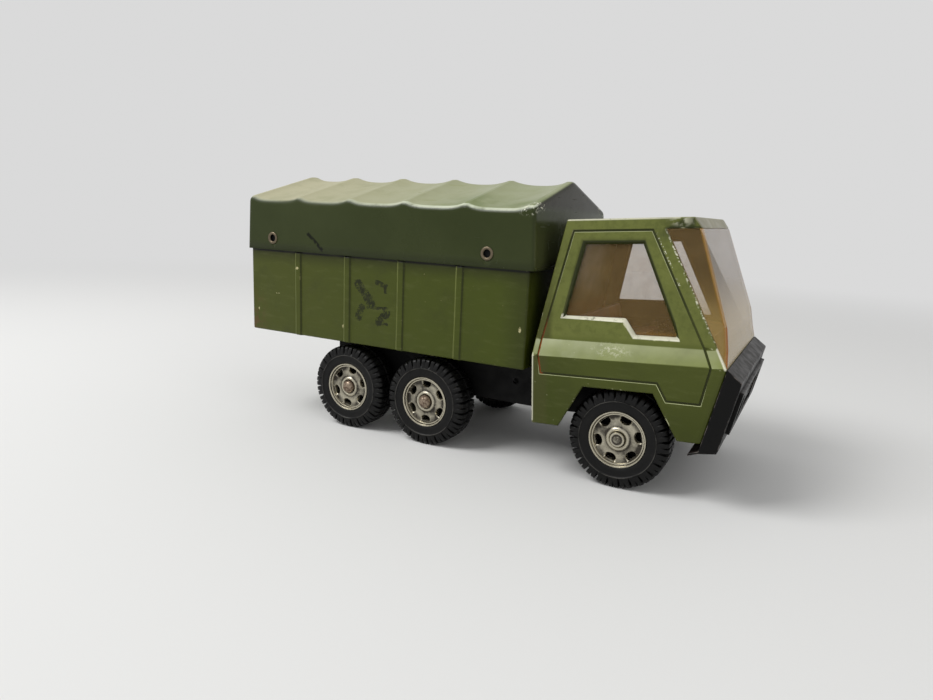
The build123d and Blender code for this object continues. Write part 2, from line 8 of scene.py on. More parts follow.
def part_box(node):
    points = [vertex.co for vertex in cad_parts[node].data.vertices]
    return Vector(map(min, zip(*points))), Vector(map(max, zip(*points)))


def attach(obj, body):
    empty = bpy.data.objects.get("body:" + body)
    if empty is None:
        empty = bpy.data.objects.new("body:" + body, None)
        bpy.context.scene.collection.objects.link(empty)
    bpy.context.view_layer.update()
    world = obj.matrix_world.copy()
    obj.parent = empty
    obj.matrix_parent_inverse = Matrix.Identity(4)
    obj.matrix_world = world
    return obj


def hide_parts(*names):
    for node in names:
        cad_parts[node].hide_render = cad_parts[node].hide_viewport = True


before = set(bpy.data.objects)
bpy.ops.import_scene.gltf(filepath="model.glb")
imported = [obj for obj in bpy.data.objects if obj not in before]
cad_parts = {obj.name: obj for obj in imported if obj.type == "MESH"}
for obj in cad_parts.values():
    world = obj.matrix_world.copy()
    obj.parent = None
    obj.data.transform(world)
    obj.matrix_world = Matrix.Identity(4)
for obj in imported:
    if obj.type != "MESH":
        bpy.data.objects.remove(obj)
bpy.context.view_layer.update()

# Metres, in the CAD's frame: +X forward, +Y the truck's left side, z = 0 the ground
MM = 0.001

# Camera
camera_from_tail = 0.29113
camera_y = -0.32827
camera_height = 0.11664
camera_yaw = radians(28.10)
camera_pitch = radians(11.38)
camera_roll = radians(2.51)
image_width = 933
focal_pixels = 671.2
sensor_width = 36.0

# Light, plain and even enough that a colour renders about as it is written
floor_shade = 0.74
surround_colour = (0.55, 0.55, 0.55, 1.0)
seen_colour = (0.70, 0.70, 0.70, 1.0)
lamps = [
    # name, place, size, watts
    ("key", (-0.75, -0.75, 1.25), (0.75, 0.75), 17.0),
    ("fill", (1.1, -0.5, 0.7), (0.8, 0.8), 1.5),
]
lamp_target = (0.0, 0.0, 0.06)
floor_radii = (0.0, 0.05, 0.2, 0.4, 0.7, 1.1, 1.7, 2.6, 4.0)
floor_steps = 96
floor_fade = (0.35, 1.3)

# Canopy
canopy_low, canopy_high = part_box("canopy")
canopy_half = canopy_high.y
canopy_length = canopy_high.x - canopy_low.x
roof_rise = 13.9 * MM
roof_slope = atan2(roof_rise, canopy_half)
apex_radius = 12.0 * MM
apex_z = canopy_high.z + apex_radius * (1 / cos(roof_slope) - 1)
eave_radius = 3.6 * MM
canopy_edge_radius = 2.2 * MM
canopy_wall = 1.0 * MM
canopy_lean = 2.4 * MM
lean_reach = 12.0 * MM
bay_count = 5
bay_sag = 2.2 * MM
eave_sag = 1.6 * MM
eave_flatness = 3.6
bay_flatness = 2.4
bow_width = 1.8 * MM
bow_ease = 0.35 * MM
end_bow = 4.2 * MM
rear_rim = 5.0 * MM

# Load box
box_low, box_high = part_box("load_box")
rib_rise = 0.8 * MM
box_half = box_high.y - rib_rise
box_corner = 1.4 * MM
box_fold = 0.9 * MM
sheet = 1.0 * MM
rib_count = 4
rib_first = 34.8 * MM
rib_spacing = 33.4 * MM
rib_width = 5.2 * MM
rib_flank = 1.3 * MM
rib_fade = 1.2 * MM
rib_places = [box_low.x + rib_first + rib_spacing * number for number in range(rib_count)]
dent_depth = 0.28 * MM
dent_scale = 38.0
side_steps = 6
end_steps = 5

# Rivets
eyelet_low, eyelet_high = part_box("eyelets")
eyelet_radius = (eyelet_high.z - eyelet_low.z) / 2
eyelet_height = (eyelet_high.z + eyelet_low.z) / 2
eyelet_bore = 2.0 * MM
eyelet_flange = eyelet_high.y - canopy_half
eyelet_places = (eyelet_low.x + eyelet_radius, eyelet_high.x - eyelet_radius)

# Cab, in its own pitched frame: millimetres forward of its rear face and over the chassis' top
cab_pitch = radians(3.55)
cab_x = 43.547
chassis_top = 47.4
belt_low = 8.2
belt_high = 15.4
lower_half = 50.65
belt_half = 46.05
roof_half = 40.3
cab_roof = 68.5
groove_depth = 0.5
# Outline of a side window, and the corner between windscreen and quarter panel, from its foot up
window = [(11.5, 24.8), (20.3, 59.2), (47.4, 59.2), (65.0, 17.9), (44.8, 17.9), (40.0, 24.8)]
near_corner = [(83.8, 50.15, 8.2), (83.1, 45.125, 15.4), (82.1, 43.43, 23.9), (70.1, 37.31, 63.8)]
# How near the outer skin, and how near that outline, an edge's middle lies when it is a window's
skin_reach = 0.3
outline_reach = 0.4

# The shortest edge that is rounded, in widths of its rounding, and how fast the 'edge' mark grows with a fold
shortest_rounded = 2.6
fold_gain = 5.0

# Wheels, in millimetres, drawn for these radii of tyre and hub and grown to the solids'
drawn_tyre = 22.5
drawn_hub = 12.8
sides = {"right": -1, "left": 1}
wheel_turns = {"rear": 10.0, "middle": 0.0, "front": 17.0}
lug_count = 24
slit_depth = 0.6
hub_hole_count = 6
hole_middle = 9.2
# Distance in from the tyre's outer face, and how much wider a hub's hole is there
hole_flares = ((1.85, 1.42), (3.0, 1.0), (6.0, 1.0))
turned_steps = 96

# Marks on the right side, in millimetres along the truck and up
gouge_line = [(-89.0, 103.0), (-84.5, 99.6), (-79.4, 95.2)]
residue_strips = [
    # from x, z, to x, z, width
    (-56, 79, -48, 70, 4.6),
    (-45, 81, -39, 79.5, 2.2),
    (-39.6, 80, -39, 76.5, 1.6),
    (-56, 62, -54, 67, 3.8),
    (-50, 67.5, -38, 68, 1.5),
    (-43, 61, -38.5, 65.5, 4.2),
    (-44, 60, -38, 60, 1.6),
]
box_chips = [
    # x, z, radius, how much wider than high
    (-97.2, 84.3, 2.3, 1.7),
    (-62.9, 76.0, 1.0, 1),
    (-66, 56, 1.0, 0.6),
    (-126.7, 59.3, 1.3, 1),
    (-112, 69.3, 2.4, 4.0),
    (36.0, 66, 1.1, 0.5),
]


def rgb(red, green, blue):
    """Linear colour of an 8-bit display colour."""
    def linear(value):
        value /= 255
        return value / 12.92 if value <= 0.04045 else ((value + 0.055) / 1.055) ** 2.4
    return (linear(red), linear(green), linear(blue), 1.0)


def cab_point(x, y, z):
    """Metres in the part's frame from a cab point in its own frame; a positive y is the right side."""
    return (
        (cab_x + x * cos(cab_pitch) - z * sin(cab_pitch)) * MM,
        -y * MM,
        (chassis_top + x * sin(cab_pitch) + z * cos(cab_pitch)) * MM,
    )


def cab_side(z):
    """Half-width of the cab's outer side at a height."""
    if z <= belt_low:
        return lower_half
    if z <= belt_high:
        return lower_half + (belt_half - lower_half) * (z - belt_low) / (belt_high - belt_low)
    return belt_half + (roof_half - belt_half) * (z - belt_high) / (cab_roof - belt_high)


def on_skin(x, z, inset=0.0):
    """A point on the cab's outer side, or in from it."""
    return cab_point(x, cab_side(z) - inset, z)


class Nodes:
    """Shader nodes in a tree, with short calls for what the finishes share."""

    def __init__(self, tree):
        self.tree = tree

    def new(self, kind):
        return self.tree.nodes.new("ShaderNode" + kind)

    def put(self, socket, value):
        if isinstance(value, bpy.types.NodeSocket):
            self.tree.links.new(value, socket)
        else:
            socket.default_value = value

    def fill(self, node, *values, **named):
        """A node's outputs, once its first inputs and its named ones, with _ for a space, have values."""
        for socket, value in zip(node.inputs, values):
            self.put(socket, value)
        for name, value in named.items():
            self.put(node.inputs[name.replace("_", " ")], value)
        return node.outputs

    def split(self, vector):
        return self.fill(self.new("SeparateXYZ"), vector)[:]

    def calc(self, operation, first, second=0.0, third=0.0, clamp=False):
        node = self.new("Math")
        node.operation = operation
        node.use_clamp = clamp
        return self.fill(node, first, second, third)[0]

    def chain(self, operation, first, *others):
        for other in others:
            first = self.calc(operation, first, other)
        return first

    def both(self, *masks):
        """Product of masks."""
        return self.chain("MULTIPLY", *masks)

    def any(self, *masks):
        """Largest of masks."""
        return self.chain("MAXIMUM", *masks)

    def vector(self, operation, *values):
        node = self.new("VectorMath")
        node.operation = operation
        result = "Value" if operation in ("DOT_PRODUCT", "LENGTH", "DISTANCE") else "Vector"
        return self.fill(node, *values)[result]

    def step(self, value, low, high, out_low=0.0, out_high=1.0):
        """A soft step of a value from low to high."""
        node = self.new("MapRange")
        node.interpolation_type = "SMOOTHSTEP"
        return self.fill(node, value, low, high, out_low, out_high)["Result"]

    def mix(self, factor, first, second):
        node = self.new("Mix")
        node.data_type = "RGBA"
        self.put(node.inputs["Factor"], factor)
        self.put(node.inputs[6], first)
        self.put(node.inputs[7], second)
        return node.outputs[2]

    def ramp(self, value, start, end, at_start, at_end):
        """A straight line through two values, not held at its ends."""
        slope = (at_end - at_start) / (end - start)
        return self.calc("MULTIPLY_ADD", self.calc("SUBTRACT", value, start), slope, at_start)


class Finish(Nodes):
    """A material, its colour laid on in coats."""

    def __init__(self, name):
        self.material = bpy.data.materials.new(name)
        self.material.use_nodes = True
        super().__init__(self.material.node_tree)
        self.tree.nodes.clear()
        self.shader = self.new("BsdfPrincipled")
        self.output = self.new("OutputMaterial")
        self.fill(self.output, Surface=self.shader.outputs["BSDF"])
        self.place = self.new("TexCoord").outputs["Object"]
        self.x, self.y, self.z = self.split(self.place)
        self.facing_front, _, self.facing_up = self.split(self.new("NewGeometry").outputs["Normal"])
        self.side = self.calc("ABSOLUTE", self.y)
        # The matching place on the right side, for marks that show on both
        right = self.calc("MULTIPLY", self.side, -1.0)
        self.either_side = self.fill(self.new("CombineXYZ"), self.x, right, self.z)[0]
        self.colour = None

    def noise(self, scale, detail=3.0, rough=0.55, squash=None):
        node = self.new("TexNoise")
        place = self.vector("MULTIPLY", self.place, squash) if squash else self.place
        return self.fill(node, Vector=place, Scale=scale, Detail=detail, Roughness=rough)["Fac"]

    def spots(self, scale, low, high, detail=4.0, rough=0.65, squash=None):
        """Patches where a noise is high."""
        return self.step(self.noise(scale, detail, rough, squash), low, high)

    def uneven(self, scale, low, high, detail=3.0):
        """A value that drifts between low and high over the surface."""
        return self.step(self.noise(scale, detail), 0.3, 0.7, low, high)

    def lay(self, colour, *masks):
        """Lay a colour over the finish's own, as far as the masks let it."""
        self.colour = self.mix(self.both(*masks), self.colour, colour)

    def stored(self, name, low, high):
        """A soft step of what the mesh holds: 'edge', from -1 in hollows to 1 on folds, or 'lip'."""
        node = self.new("Attribute")
        node.attribute_name = name
        return self.step(node.outputs["Fac"], low, high)

    def near(self, point, radius, squash=(1, 1, 1), place=None):
        """1 at a point, falling to 0 at a radius; on both sides unless a place is given."""
        offset = self.vector("SUBTRACT", place or self.either_side, point)
        return self.step(self.vector("LENGTH", self.vector("MULTIPLY", offset, squash)), radius, 0.0)

    def along(self, points, width, place=None):
        """1 along a line through points, falling to 0 at a width; on both sides unless a place is given."""
        place = place or self.either_side
        masks = []
        for first, second in zip(points, points[1:]):
            first, span = Vector(first), Vector(second) - Vector(first)
            offset = self.vector("SUBTRACT", place, first)
            reach = self.vector("DOT_PRODUCT", offset, span)
            share = self.calc("DIVIDE", reach, span.length_squared, clamp=True)
            on_line = self.vector("MULTIPLY_ADD", share, span, first)
            masks.append(self.step(self.vector("DISTANCE", place, on_line), width, width * 0.45))
        return self.any(*masks)

    def done(self, grain, depth, strength, **values):
        """The material, with its surface's grain and its shader's values."""
        bump = self.fill(self.new("Bump"), Strength=strength, Distance=depth, Height=grain)
        self.fill(self.shader, Base_Color=self.colour, Normal=bump["Normal"], **values)
        return self.material


def enamel(f, worn, wear, gloss, grime):
    """Old sprayed enamel over a finish's colour: faint streaks, specks, worn edges, grime in patches."""
    f.lay(rgb(58, 66, 18), f.spots(30.0, 0.35, 0.7), 0.25)
    f.lay(rgb(150, 152, 104), f.spots(420.0, 0.5, 0.8, 3.0, 0.6, (0.25, 1, 1)), 0.06)
    f.lay(worn, f.spots(640.0, 0.73, 0.77, 2.0), f.spots(25.0, 0.5, 0.6), 0.6)
    f.lay(worn, f.stored("edge", 0.25, 0.7), f.spots(260.0, 0.66 - 0.24 * wear, 0.68, 5.0, 0.7))
    f.lay(rgb(40, 38, 20), f.spots(60.0, 0.5, 0.8, 6.0), grime)
    rough = f.uneven(140.0, gloss - 0.05, gloss + 0.08)
    return f.done(f.noise(500.0, 2.0), 0.00006, 0.5, Roughness=rough, Specular_IOR_Level=0.22)


def glue_residue(f):
    """Torn dark patches along the strips on the box's right side."""
    torn = f.calc("MULTIPLY", f.noise(420.0, 6.0, 0.85), 1.9)
    strips = []
    for x0, z0, x1, z1, width in residue_strips:
        ends = [(x0 * MM, -box_half, z0 * MM), (x1 * MM, -box_half, z1 * MM)]
        strips.append(f.along(ends, width * MM, f.place))
    return f.step(f.calc("MULTIPLY_ADD", f.any(*strips), 0.8, torn), 1.62, 1.74)


def enamel_chips(f):
    """Ragged chips at their places on the box's right side."""
    chips = []
    for x, z, radius, squash in box_chips:
        chips.append(f.near((x * MM, -box_half, z * MM), radius * MM, (1, 1, squash), f.place))
    return f.both(f.step(f.any(*chips), 0.25, 0.4), f.spots(900.0, 0.44, 0.54))


def box_paint():
    """Olive enamel with painted shade under the canopy and towards its front end, a painted shadow line along
    the canopy's lower edge, a painted highlight and painted shade on the ribs' flanks, chips, glue residue
    and a rusty lower corner.
    """
    f = Finish("box_paint")
    f.colour = f.mix(f.step(f.x, -0.13, 0.04), rgb(66, 72, 20), rgb(62, 71, 12))
    # Painted shade towards the box's front end
    f.lay(rgb(42, 47, 10), f.step(f.x, box_high.x - 16 * MM, box_high.x), 0.6)
    # Painted shade under the canopy, then a painted shadow line at its lower edge
    f.lay(rgb(34, 36, 8), f.step(f.z, canopy_low.z - 9 * MM, canopy_low.z - 1 * MM), 0.55)
    f.lay(rgb(8, 8, 4), f.step(f.z, canopy_low.z - 1.5 * MM, canopy_low.z - 0.7 * MM))
    # The ribs' flanks: a painted highlight on the one facing back and painted shade on the one facing forward
    flank = f.step(f.side, box_half + 0.08 * MM, box_half + 0.25 * MM)
    f.lay(rgb(110, 116, 60), flank, f.step(f.facing_front, -0.1, -0.4), 0.7)
    f.lay(rgb(30, 34, 6), flank, f.step(f.facing_front, 0.2, 0.5), 0.65)
    f.lay(rgb(12, 12, 2), glue_residue(f), 0.9)
    f.lay(rgb(196, 188, 142), enamel_chips(f), 0.8)
    corner = f.near((box_low.x, -box_half, box_low.z), 16 * MM, (1, 1, 0.5))
    f.lay(rgb(84, 62, 34), corner, f.spots(300.0, 0.38, 0.62, 5.0), 0.85)
    return enamel(f, rgb(150, 142, 98), 0.3, 0.40, 0.3)


def cab_painted_light_and_tone(f, x, z):
    """The cab enamel's painted light and shade, from its foot up to its pillars: darker low down and at the
    lower rear, paler up the door, random darker patches, and a painted highlight on the belt where it faces
    up.
    """
    # Painted light and shade: darker at the foot and towards the lower rear, paler up the door
    f.colour = f.mix(f.step(z, -24.0, 4.0), rgb(56, 63, 11), rgb(67, 74, 22))
    f.lay(rgb(88, 95, 40), f.step(z, 8.0, 9.0))
    f.lay(rgb(56, 64, 10), f.step(x, 30.0, 2.0), f.step(z, 9.0, 6.0), 0.9)
    f.lay(rgb(102, 108, 52), f.step(z, 15.0, 18.0))
    f.lay(rgb(64, 66, 26), f.step(x, 9.0, 6.0), f.step(z, 56.0, 18.0), 0.8)
    f.lay(rgb(66, 72, 26), f.step(z, 16.0, 20.0), f.spots(330.0, 0.46, 0.62, 4.0, 0.7), 0.28)
    # A painted highlight on the belt where it faces up
    belt = f.mix(f.step(z, 9.0, 15.0), rgb(124, 132, 74), rgb(142, 148, 102))
    f.lay(belt, f.step(f.facing_up, 0.3, 0.5), f.step(z, 16.5, 15.0), f.step(x, 0.0, 9.0, 0.75, 1.0))


def below_skin(f, x, z):
    """What lies below the cab's outer skin: door lines in painted shade with painted highlights on their
    upward-facing lips, and window reveals in painted shade.
    """
    belt_side = f.ramp(z, belt_low, belt_high, lower_half, belt_half)
    upper_side = f.ramp(z, belt_high, cab_roof, belt_half, roof_half)
    outer_side = f.calc("MINIMUM", f.any(belt_side, upper_side), lower_half)
    depth = f.calc("SUBTRACT", outer_side, f.calc("DIVIDE", f.side, MM))
    in_door = f.both(f.step(x, 2.0, 2.5), f.step(x, 79.5, 79.0), f.step(z, -8.5, -8.0), f.step(z, 65.0, 64.5))
    # Painted shade in the door lines' recess, with rust in them towards the rear
    groove = f.both(f.step(depth, 0.34, 0.47), in_door)
    f.lay(rgb(28, 31, 8), groove, 0.66)
    f.lay(rgb(126, 66, 26), groove, f.step(x, 6.0, 5.0), f.spots(300.0, 0.35, 0.5), f.step(z, 40.0, 10.0))
    # Painted shade in the window reveals, where they do not face up
    in_window = f.both(f.step(x, 9.0, 10.0), f.step(x, 68.0, 66.0), f.step(z, 16.5, 17.5))
    upright = f.step(f.facing_up, 0.15, 0.5, 1.0, 0.0)
    f.lay(rgb(34, 40, 12), f.step(depth, 0.03, 0.8), in_window, upright, 0.85)
    # A painted highlight on the door lines' lips, where they face up
    f.lay(rgb(196, 200, 156), f.stored("lip", 0.3, 0.6), f.step(f.facing_up, -0.05, 0.3), 0.9)


def cab_wear(f):
    """A painted highlight on the sills where they face up, and bright metal and chalky primer on pillar,
    belt, door edges and a scuff.
    """
    # The sills' pale colour is a painted highlight, laid where they face up
    sill_line = f.along([on_skin(*window[n], 0.9) for n in (0, 5, 4, 3)], 2.6 * MM)
    sill = f.both(sill_line, f.step(f.facing_up, 0.25, 0.45), f.spots(260.0, 0.28, 0.42, 5.0, 0.7))
    patchy = f.spots(120.0, 0.35, 0.5)
    pillar_line = f.along([on_skin(79.2, 15.6), on_skin(56.4, 63.4)], 1.0 * MM)
    pillar = f.both(pillar_line, f.spots(900.0, 0.50, 0.56, 3.0), patchy)
    door_line = f.along([on_skin(51.9, 62.5), on_skin(62.9, 40.0)], 0.6 * MM)
    door = f.both(door_line, f.spots(1000.0, 0.54, 0.60, 3.0), patchy)
    belt = f.both(f.along([on_skin(79.6, 15.4), on_skin(83.5, 8.4)], 1.2 * MM), f.spots(300.0, 0.3, 0.42))
    scuff = f.near(cab_point(36, 48, 12.5), 12 * MM, (1, 1, 3))
    scuff = f.both(scuff, f.spots(620.0, 0.50, 0.62, 5.0, 0.75), 0.55)
    rear = f.both(f.along([on_skin(0.2, -22), cab_point(0.2, lower_half, 9)], 0.9 * MM), 0.7)
    f.lay(rgb(224, 222, 200), f.any(sill, pillar, door, belt, scuff, rear))


def cab_roof_wear_and_painted_light(f, z):
    """A roof with dust and a painted sheen on top, a painted reflection along its rim and a worn patch at its
    front corner.
    """
    # Dust and painted sheen on the roof's top
    f.lay(rgb(132, 136, 98), f.step(z, 66.0, 68.0), f.step(f.facing_up, 0.5, 0.9), 0.8)
    # A painted reflection along the rim, with the worn corner patch
    rim = f.along([cab_point(12.5, roof_half, cab_roof), cab_point(61.1, roof_half, cab_roof)], 0.9 * MM)
    rim = f.both(rim, f.spots(220.0, 0.25, 0.45), 0.85)
    corner = f.near(cab_point(62.0, roof_half, 67.2), 7 * MM, (1, 1, 2))
    f.lay(rgb(206, 204, 180), f.any(rim, f.both(corner, f.spots(300.0, 0.42, 0.52, 5.0))))
    # The visor over the windscreen, painted paler as painted light, and darker under it
    f.lay(rgb(158, 152, 128), f.step(f.facing_front, 0.35, 0.7), f.step(z, 60.0, 63.0), 0.85)
    under = f.near(on_skin(56.0, 63.0), 8 * MM)
    f.lay(rgb(46, 50, 22), under, f.spots(200.0, 0.3, 0.6), 0.6)


def cab_paint():
    """The cab's enamel, painted paler up the door, with painted highlights on the belt and sills, and a
    painted reflection and wear on the roof edges.
    """
    f = Finish("cab_paint")
    to_cab = f.vector("SUBTRACT", f.place, cab_point(0, 0, 0))
    x = f.vector("DOT_PRODUCT", to_cab, (cos(cab_pitch) / MM, 0, sin(cab_pitch) / MM))
    z = f.vector("DOT_PRODUCT", to_cab, (-sin(cab_pitch) / MM, 0, cos(cab_pitch) / MM))
    cab_painted_light_and_tone(f, x, z)
    below_skin(f, x, z)
    cab_wear(f)
    cab_roof_wear_and_painted_light(f, z)
    return enamel(f, rgb(196, 196, 158), 0.45, 0.36, 0.2)


def canopy_roof(f):
    """The canopy's colour from above: dust and a painted sheen, paler to the rear, and greener towards the
    eaves of its front bays.
    """
    roof = f.mix(f.step(f.x, canopy_low.x, canopy_high.x - 10 * MM), rgb(182, 178, 148), rgb(146, 152, 114))
    roof = f.mix(f.both(f.spots(70.0, 0.45, 0.7, 6.0), 0.3), roof, rgb(132, 134, 96))
    drift = f.step(f.noise(60.0, 4.0), 0.35, 0.6, 0.2, 0.75)
    greener_by_eaves = f.both(f.step(f.side, 24 * MM, 40 * MM), f.step(f.x, -25 * MM, 12 * MM), drift)
    return f.mix(greener_by_eaves, roof, rgb(104, 118, 62))


def canopy_chips(f):
    """Chips down to the pale core: down the front edge, round its upper corner and along the eaves."""
    front = canopy_high.x - 0.4 * MM
    line = [(front, -canopy_half, canopy_high.z - 13.5 * MM), (front, -canopy_half, canopy_low.z + 6 * MM)]
    down_edge = f.both(f.along(line, 1.1 * MM), f.spots(420.0, 0.58, 0.64, 5.0, 0.7))
    corner = (front - 3 * MM, -canopy_half, canopy_high.z - 13 * MM)
    slope = (front - 1 * MM, -canopy_half + 6 * MM, canopy_high.z - 12.5 * MM)
    by_corner = f.near(corner, 9 * MM, (0.8, 1, 1.4))
    by_slope = f.near(slope, 8 * MM, (1, 0.8, 1.6))
    chips = f.both(f.step(f.any(by_corner, by_slope), 0.05, 0.6), f.spots(760.0, 0.575, 0.60))
    eaves = f.both(f.stored("edge", 0.5, 0.9), f.spots(330.0, 0.62, 0.68, 4.0, 0.7), 0.7)
    return f.any(down_edge, chips, eaves)


def canopy_plastic():
    """Hard moulded plastic, dark green and glossy, with a dusty roof under a painted sheen, painted light and
    painted shade on the front gable, a painted highlight along the eaves, scratches and chips to a cream
    core.
    """
    f = Finish("canopy_plastic")
    top = f.step(f.facing_up, 0.5, 0.95)
    f.colour = f.mix(f.spots(22.0, 0.3, 0.7), rgb(48, 55, 27), rgb(53, 60, 31))
    # Dust and painted sheen on the upward-facing roof
    f.lay(canopy_roof(f), top, 0.9)
    # The front gable, painted paler towards its foot as painted light, and in painted shade at its peak
    gable = f.step(f.facing_front, 0.6, 0.9)
    f.lay(rgb(70, 74, 44), gable, f.step(f.z, canopy_high.z - 10 * MM, canopy_low.z + 8 * MM), 0.9)
    f.lay(rgb(34, 30, 6), gable, f.step(f.z, canopy_high.z - 16 * MM, canopy_high.z - 12 * MM), 0.9)
    # A painted highlight along the eaves, strongest over the front bays
    painted_eave_highlight = f.both(f.step(f.facing_up, 0.42, 0.7), f.step(f.facing_up, 0.93, 0.8),
                     f.step(f.side, canopy_half - 7 * MM, canopy_half - 3 * MM))
    f.lay(rgb(206, 212, 190), painted_eave_highlight, f.step(f.x, -0.10, 0.0, 0.2, 0.85), f.spots(40.0, 0.3, 0.5))
    f.lay(rgb(218, 218, 196), canopy_chips(f))
    gouge = f.along([(x * MM, -canopy_half, z * MM) for x, z in gouge_line], 1.3 * MM, f.place)
    f.lay(rgb(10, 12, 2), gouge, f.spots(500.0, 0.42, 0.5), 0.95)
    # Gloss, broken by long scratches, duller to the rear and on top
    scratches = f.both(f.spots(60.0, 0.70, 0.72, 2.0, 0.5, (1, 1, 9)), 0.2)
    rough = f.calc("ADD", f.step(f.noise(90.0, 5.0), 0.3, 0.75, 0.22, 0.34), scratches)
    rough = f.calc("ADD", rough, f.step(f.x, canopy_high.x - 30 * MM, canopy_low.x + 30 * MM, -0.04, 0.14))
    rough = f.calc("ADD", rough, f.both(top, 0.12))
    return f.done(f.noise(180.0), 0.00005, 0.4, Roughness=rough, Specular_IOR_Level=0.15)


def black_finish(name, colour, worn, gloss, dust):
    """Black paint or plastic, its edges rubbed and its upper faces a little dusty."""
    f = Finish(name)
    f.colour = f.mix(f.spots(70.0, 0.4, 0.8), colour, rgb(9, 8, 7))
    f.lay(worn, f.stored("edge", 0.3, 0.8), f.spots(240.0, 0.45, 0.62, 5.0, 0.7), 0.8)
    settled = f.step(f.noise(120.0, 4.0), 0.3, 0.8, dust * 0.7, dust)
    f.lay(rgb(62, 54, 48), f.step(f.facing_up, 0.4, 0.9), settled)
    rough = f.uneven(200.0, gloss - 0.06, gloss + 0.12, 4.0)
    return f.done(f.noise(600.0), 0.00004, 0.5, Roughness=rough, Specular_IOR_Level=0.16)


def plated_metal(name, colour, grime_colour, rough, clean=0.5):
    """Dull bright plating, clean on its raised edges, with grime where it lies lower."""
    f = Finish(name)
    film = f.both(f.spots(90.0, 0.3, 0.7), f.spots(620.0, clean - 0.2, clean + 0.1, 6.0, 0.75))
    spread = f.calc("MULTIPLY_ADD", f.stored("edge", -0.08, -0.4), 0.55, film)
    grime = f.calc("SUBTRACT", spread, f.both(f.stored("edge", 0.15, 0.5), 0.75), clamp=True)
    f.colour = f.mix(grime, colour, grime_colour)
    return f.done(f.noise(900.0), 0.00006, 0.5, Metallic=f.step(grime, 0.0, 1.0, 1.0, 0.35),
                  Roughness=f.uneven(300.0, rough, rough + 0.2, 4.0))


def rusty_metal():
    """Bare steel with rust in small patches."""
    f = Finish("rusty_steel")
    rust = f.spots(420.0, 0.42, 0.62, 6.0, 0.7)
    f.colour = f.mix(rust, rgb(158, 142, 124), rgb(84, 64, 48))
    return f.done(f.noise(1200.0, 5.0, 0.7), 0.00012, 0.8, Metallic=f.step(rust, 0.0, 1.0, 0.9, 0.2),
                  Roughness=f.step(rust, 0.0, 1.0, 0.32, 0.7))


def rubber():
    """Old soft tyre, near black, shiny where rubbed, with painted highlights on its moulded ring and lug
    edges.
    """
    f = Finish("tyre_rubber")
    f.colour = f.mix(f.spots(150.0, 0.35, 0.8, 6.0), rgb(4, 4, 4), rgb(13, 12, 11))
    # Painted highlights on the moulded ring's crest and the lugs' edges
    f.lay(rgb(74, 72, 68), f.stored("edge", 0.4, 0.9), f.spots(180.0, 0.3, 0.6), 0.8)
    rough = f.uneven(260.0, 0.34, 0.56, 4.0)
    return f.done(f.noise(900.0, 4.0, 0.6), 0.00005, 0.6, Roughness=rough, Specular_IOR_Level=0.22)


def clear_plastic():
    """Yellowed clear moulding: deep amber down its corners and folds, the windscreen painted paler as painted
    light, with dust and fine scratches.
    """
    f = Finish("clear_plastic")
    haze = f.spots(120.0, 0.4, 0.8, 6.0, 0.7)
    low = f.both(f.step(f.z, 0.098, 0.074), f.step(f.x, 0.100, 0.112))
    front = f.step(f.facing_front, 0.5, 0.8)
    corner = f.along([cab_point(*p) for p in near_corner], 2.0 * MM)
    core = f.along([cab_point(*p) for p in near_corner[:3]], 1.0 * MM)
    foot = f.along([cab_point(x, cab_side(z) - 2.6, z + 1.7) for x, z in (window[3], window[4])], 1.6 * MM)
    crease = f.both(f.stored("edge", 0.3, 0.7), 0.5)
    # The windscreen, facing away from the lamps, is painted paler: painted light
    f.colour = f.mix(front, rgb(150, 122, 78), rgb(118, 90, 42))
    f.lay(rgb(172, 146, 88), low)
    f.lay(rgb(176, 134, 68), f.any(corner, f.both(foot, 0.5), crease))
    f.lay(rgb(140, 86, 28), core)
    alpha = f.calc("ADD", f.calc("MULTIPLY_ADD", haze, 0.08, 0.18), f.both(low, 0.22))
    alpha = f.calc("ADD", alpha, f.both(front, f.step(f.z, 0.112, 0.078, 0.24, 0.34)))
    alpha = f.any(alpha, f.both(corner, 0.5), f.both(core, 0.85), f.both(foot, 0.3), f.both(crease, 0.4))
    rough = f.step(haze, 0.0, 1.0, 0.07, 0.22)
    return f.done(f.noise(90.0, 2.0), 0.00006, 0.5, Roughness=rough, Alpha=alpha, IOR=1.49,
                  Specular_IOR_Level=0.2)


def interior_plastic():
    """Red-brown moulding, browner above the seats."""
    f = Finish("interior_plastic")
    f.colour = f.mix(f.spots(90.0, 0.3, 0.7), rgb(116, 58, 38), rgb(80, 46, 36))
    f.lay(rgb(96, 74, 50), f.step(f.z, 0.080, 0.094))
    return f.done(f.noise(160.0, 2.0), 0.00004, 0.3, Roughness=f.uneven(200.0, 0.4, 0.6))


def as_mesh(bm, name):
    """A mesh from a bmesh, which is used up."""
    mesh = bpy.data.meshes.new(name)
    bm.to_mesh(mesh)
    bm.free()
    return mesh


def finished(bm, name, sharp=35.0):
    """A mesh from a bmesh, smooth except at sharp angles, its 'edge' 1 on folds and -1 in hollows."""
    bm.normal_update()
    if "edge" not in bm.verts.layers.float:
        fold = bm.verts.layers.float.new("edge")
        for v in bm.verts:
            if v.link_edges:
                bend = sum((e.other_vert(v).co - v.co).normalized().dot(v.normal) for e in v.link_edges)
                v[fold] = min(1.0, max(-1.0, -bend / len(v.link_edges) * fold_gain))
    mesh = as_mesh(bm, name)
    mesh.polygons.foreach_set("use_smooth", [True] * len(mesh.polygons))
    mesh.set_sharp_from_angle(angle=radians(sharp))
    return mesh


def placed(name, data):
    """A new object in the scene."""
    made = bpy.data.objects.new(name, data)
    bpy.context.scene.collection.objects.link(made)
    return made


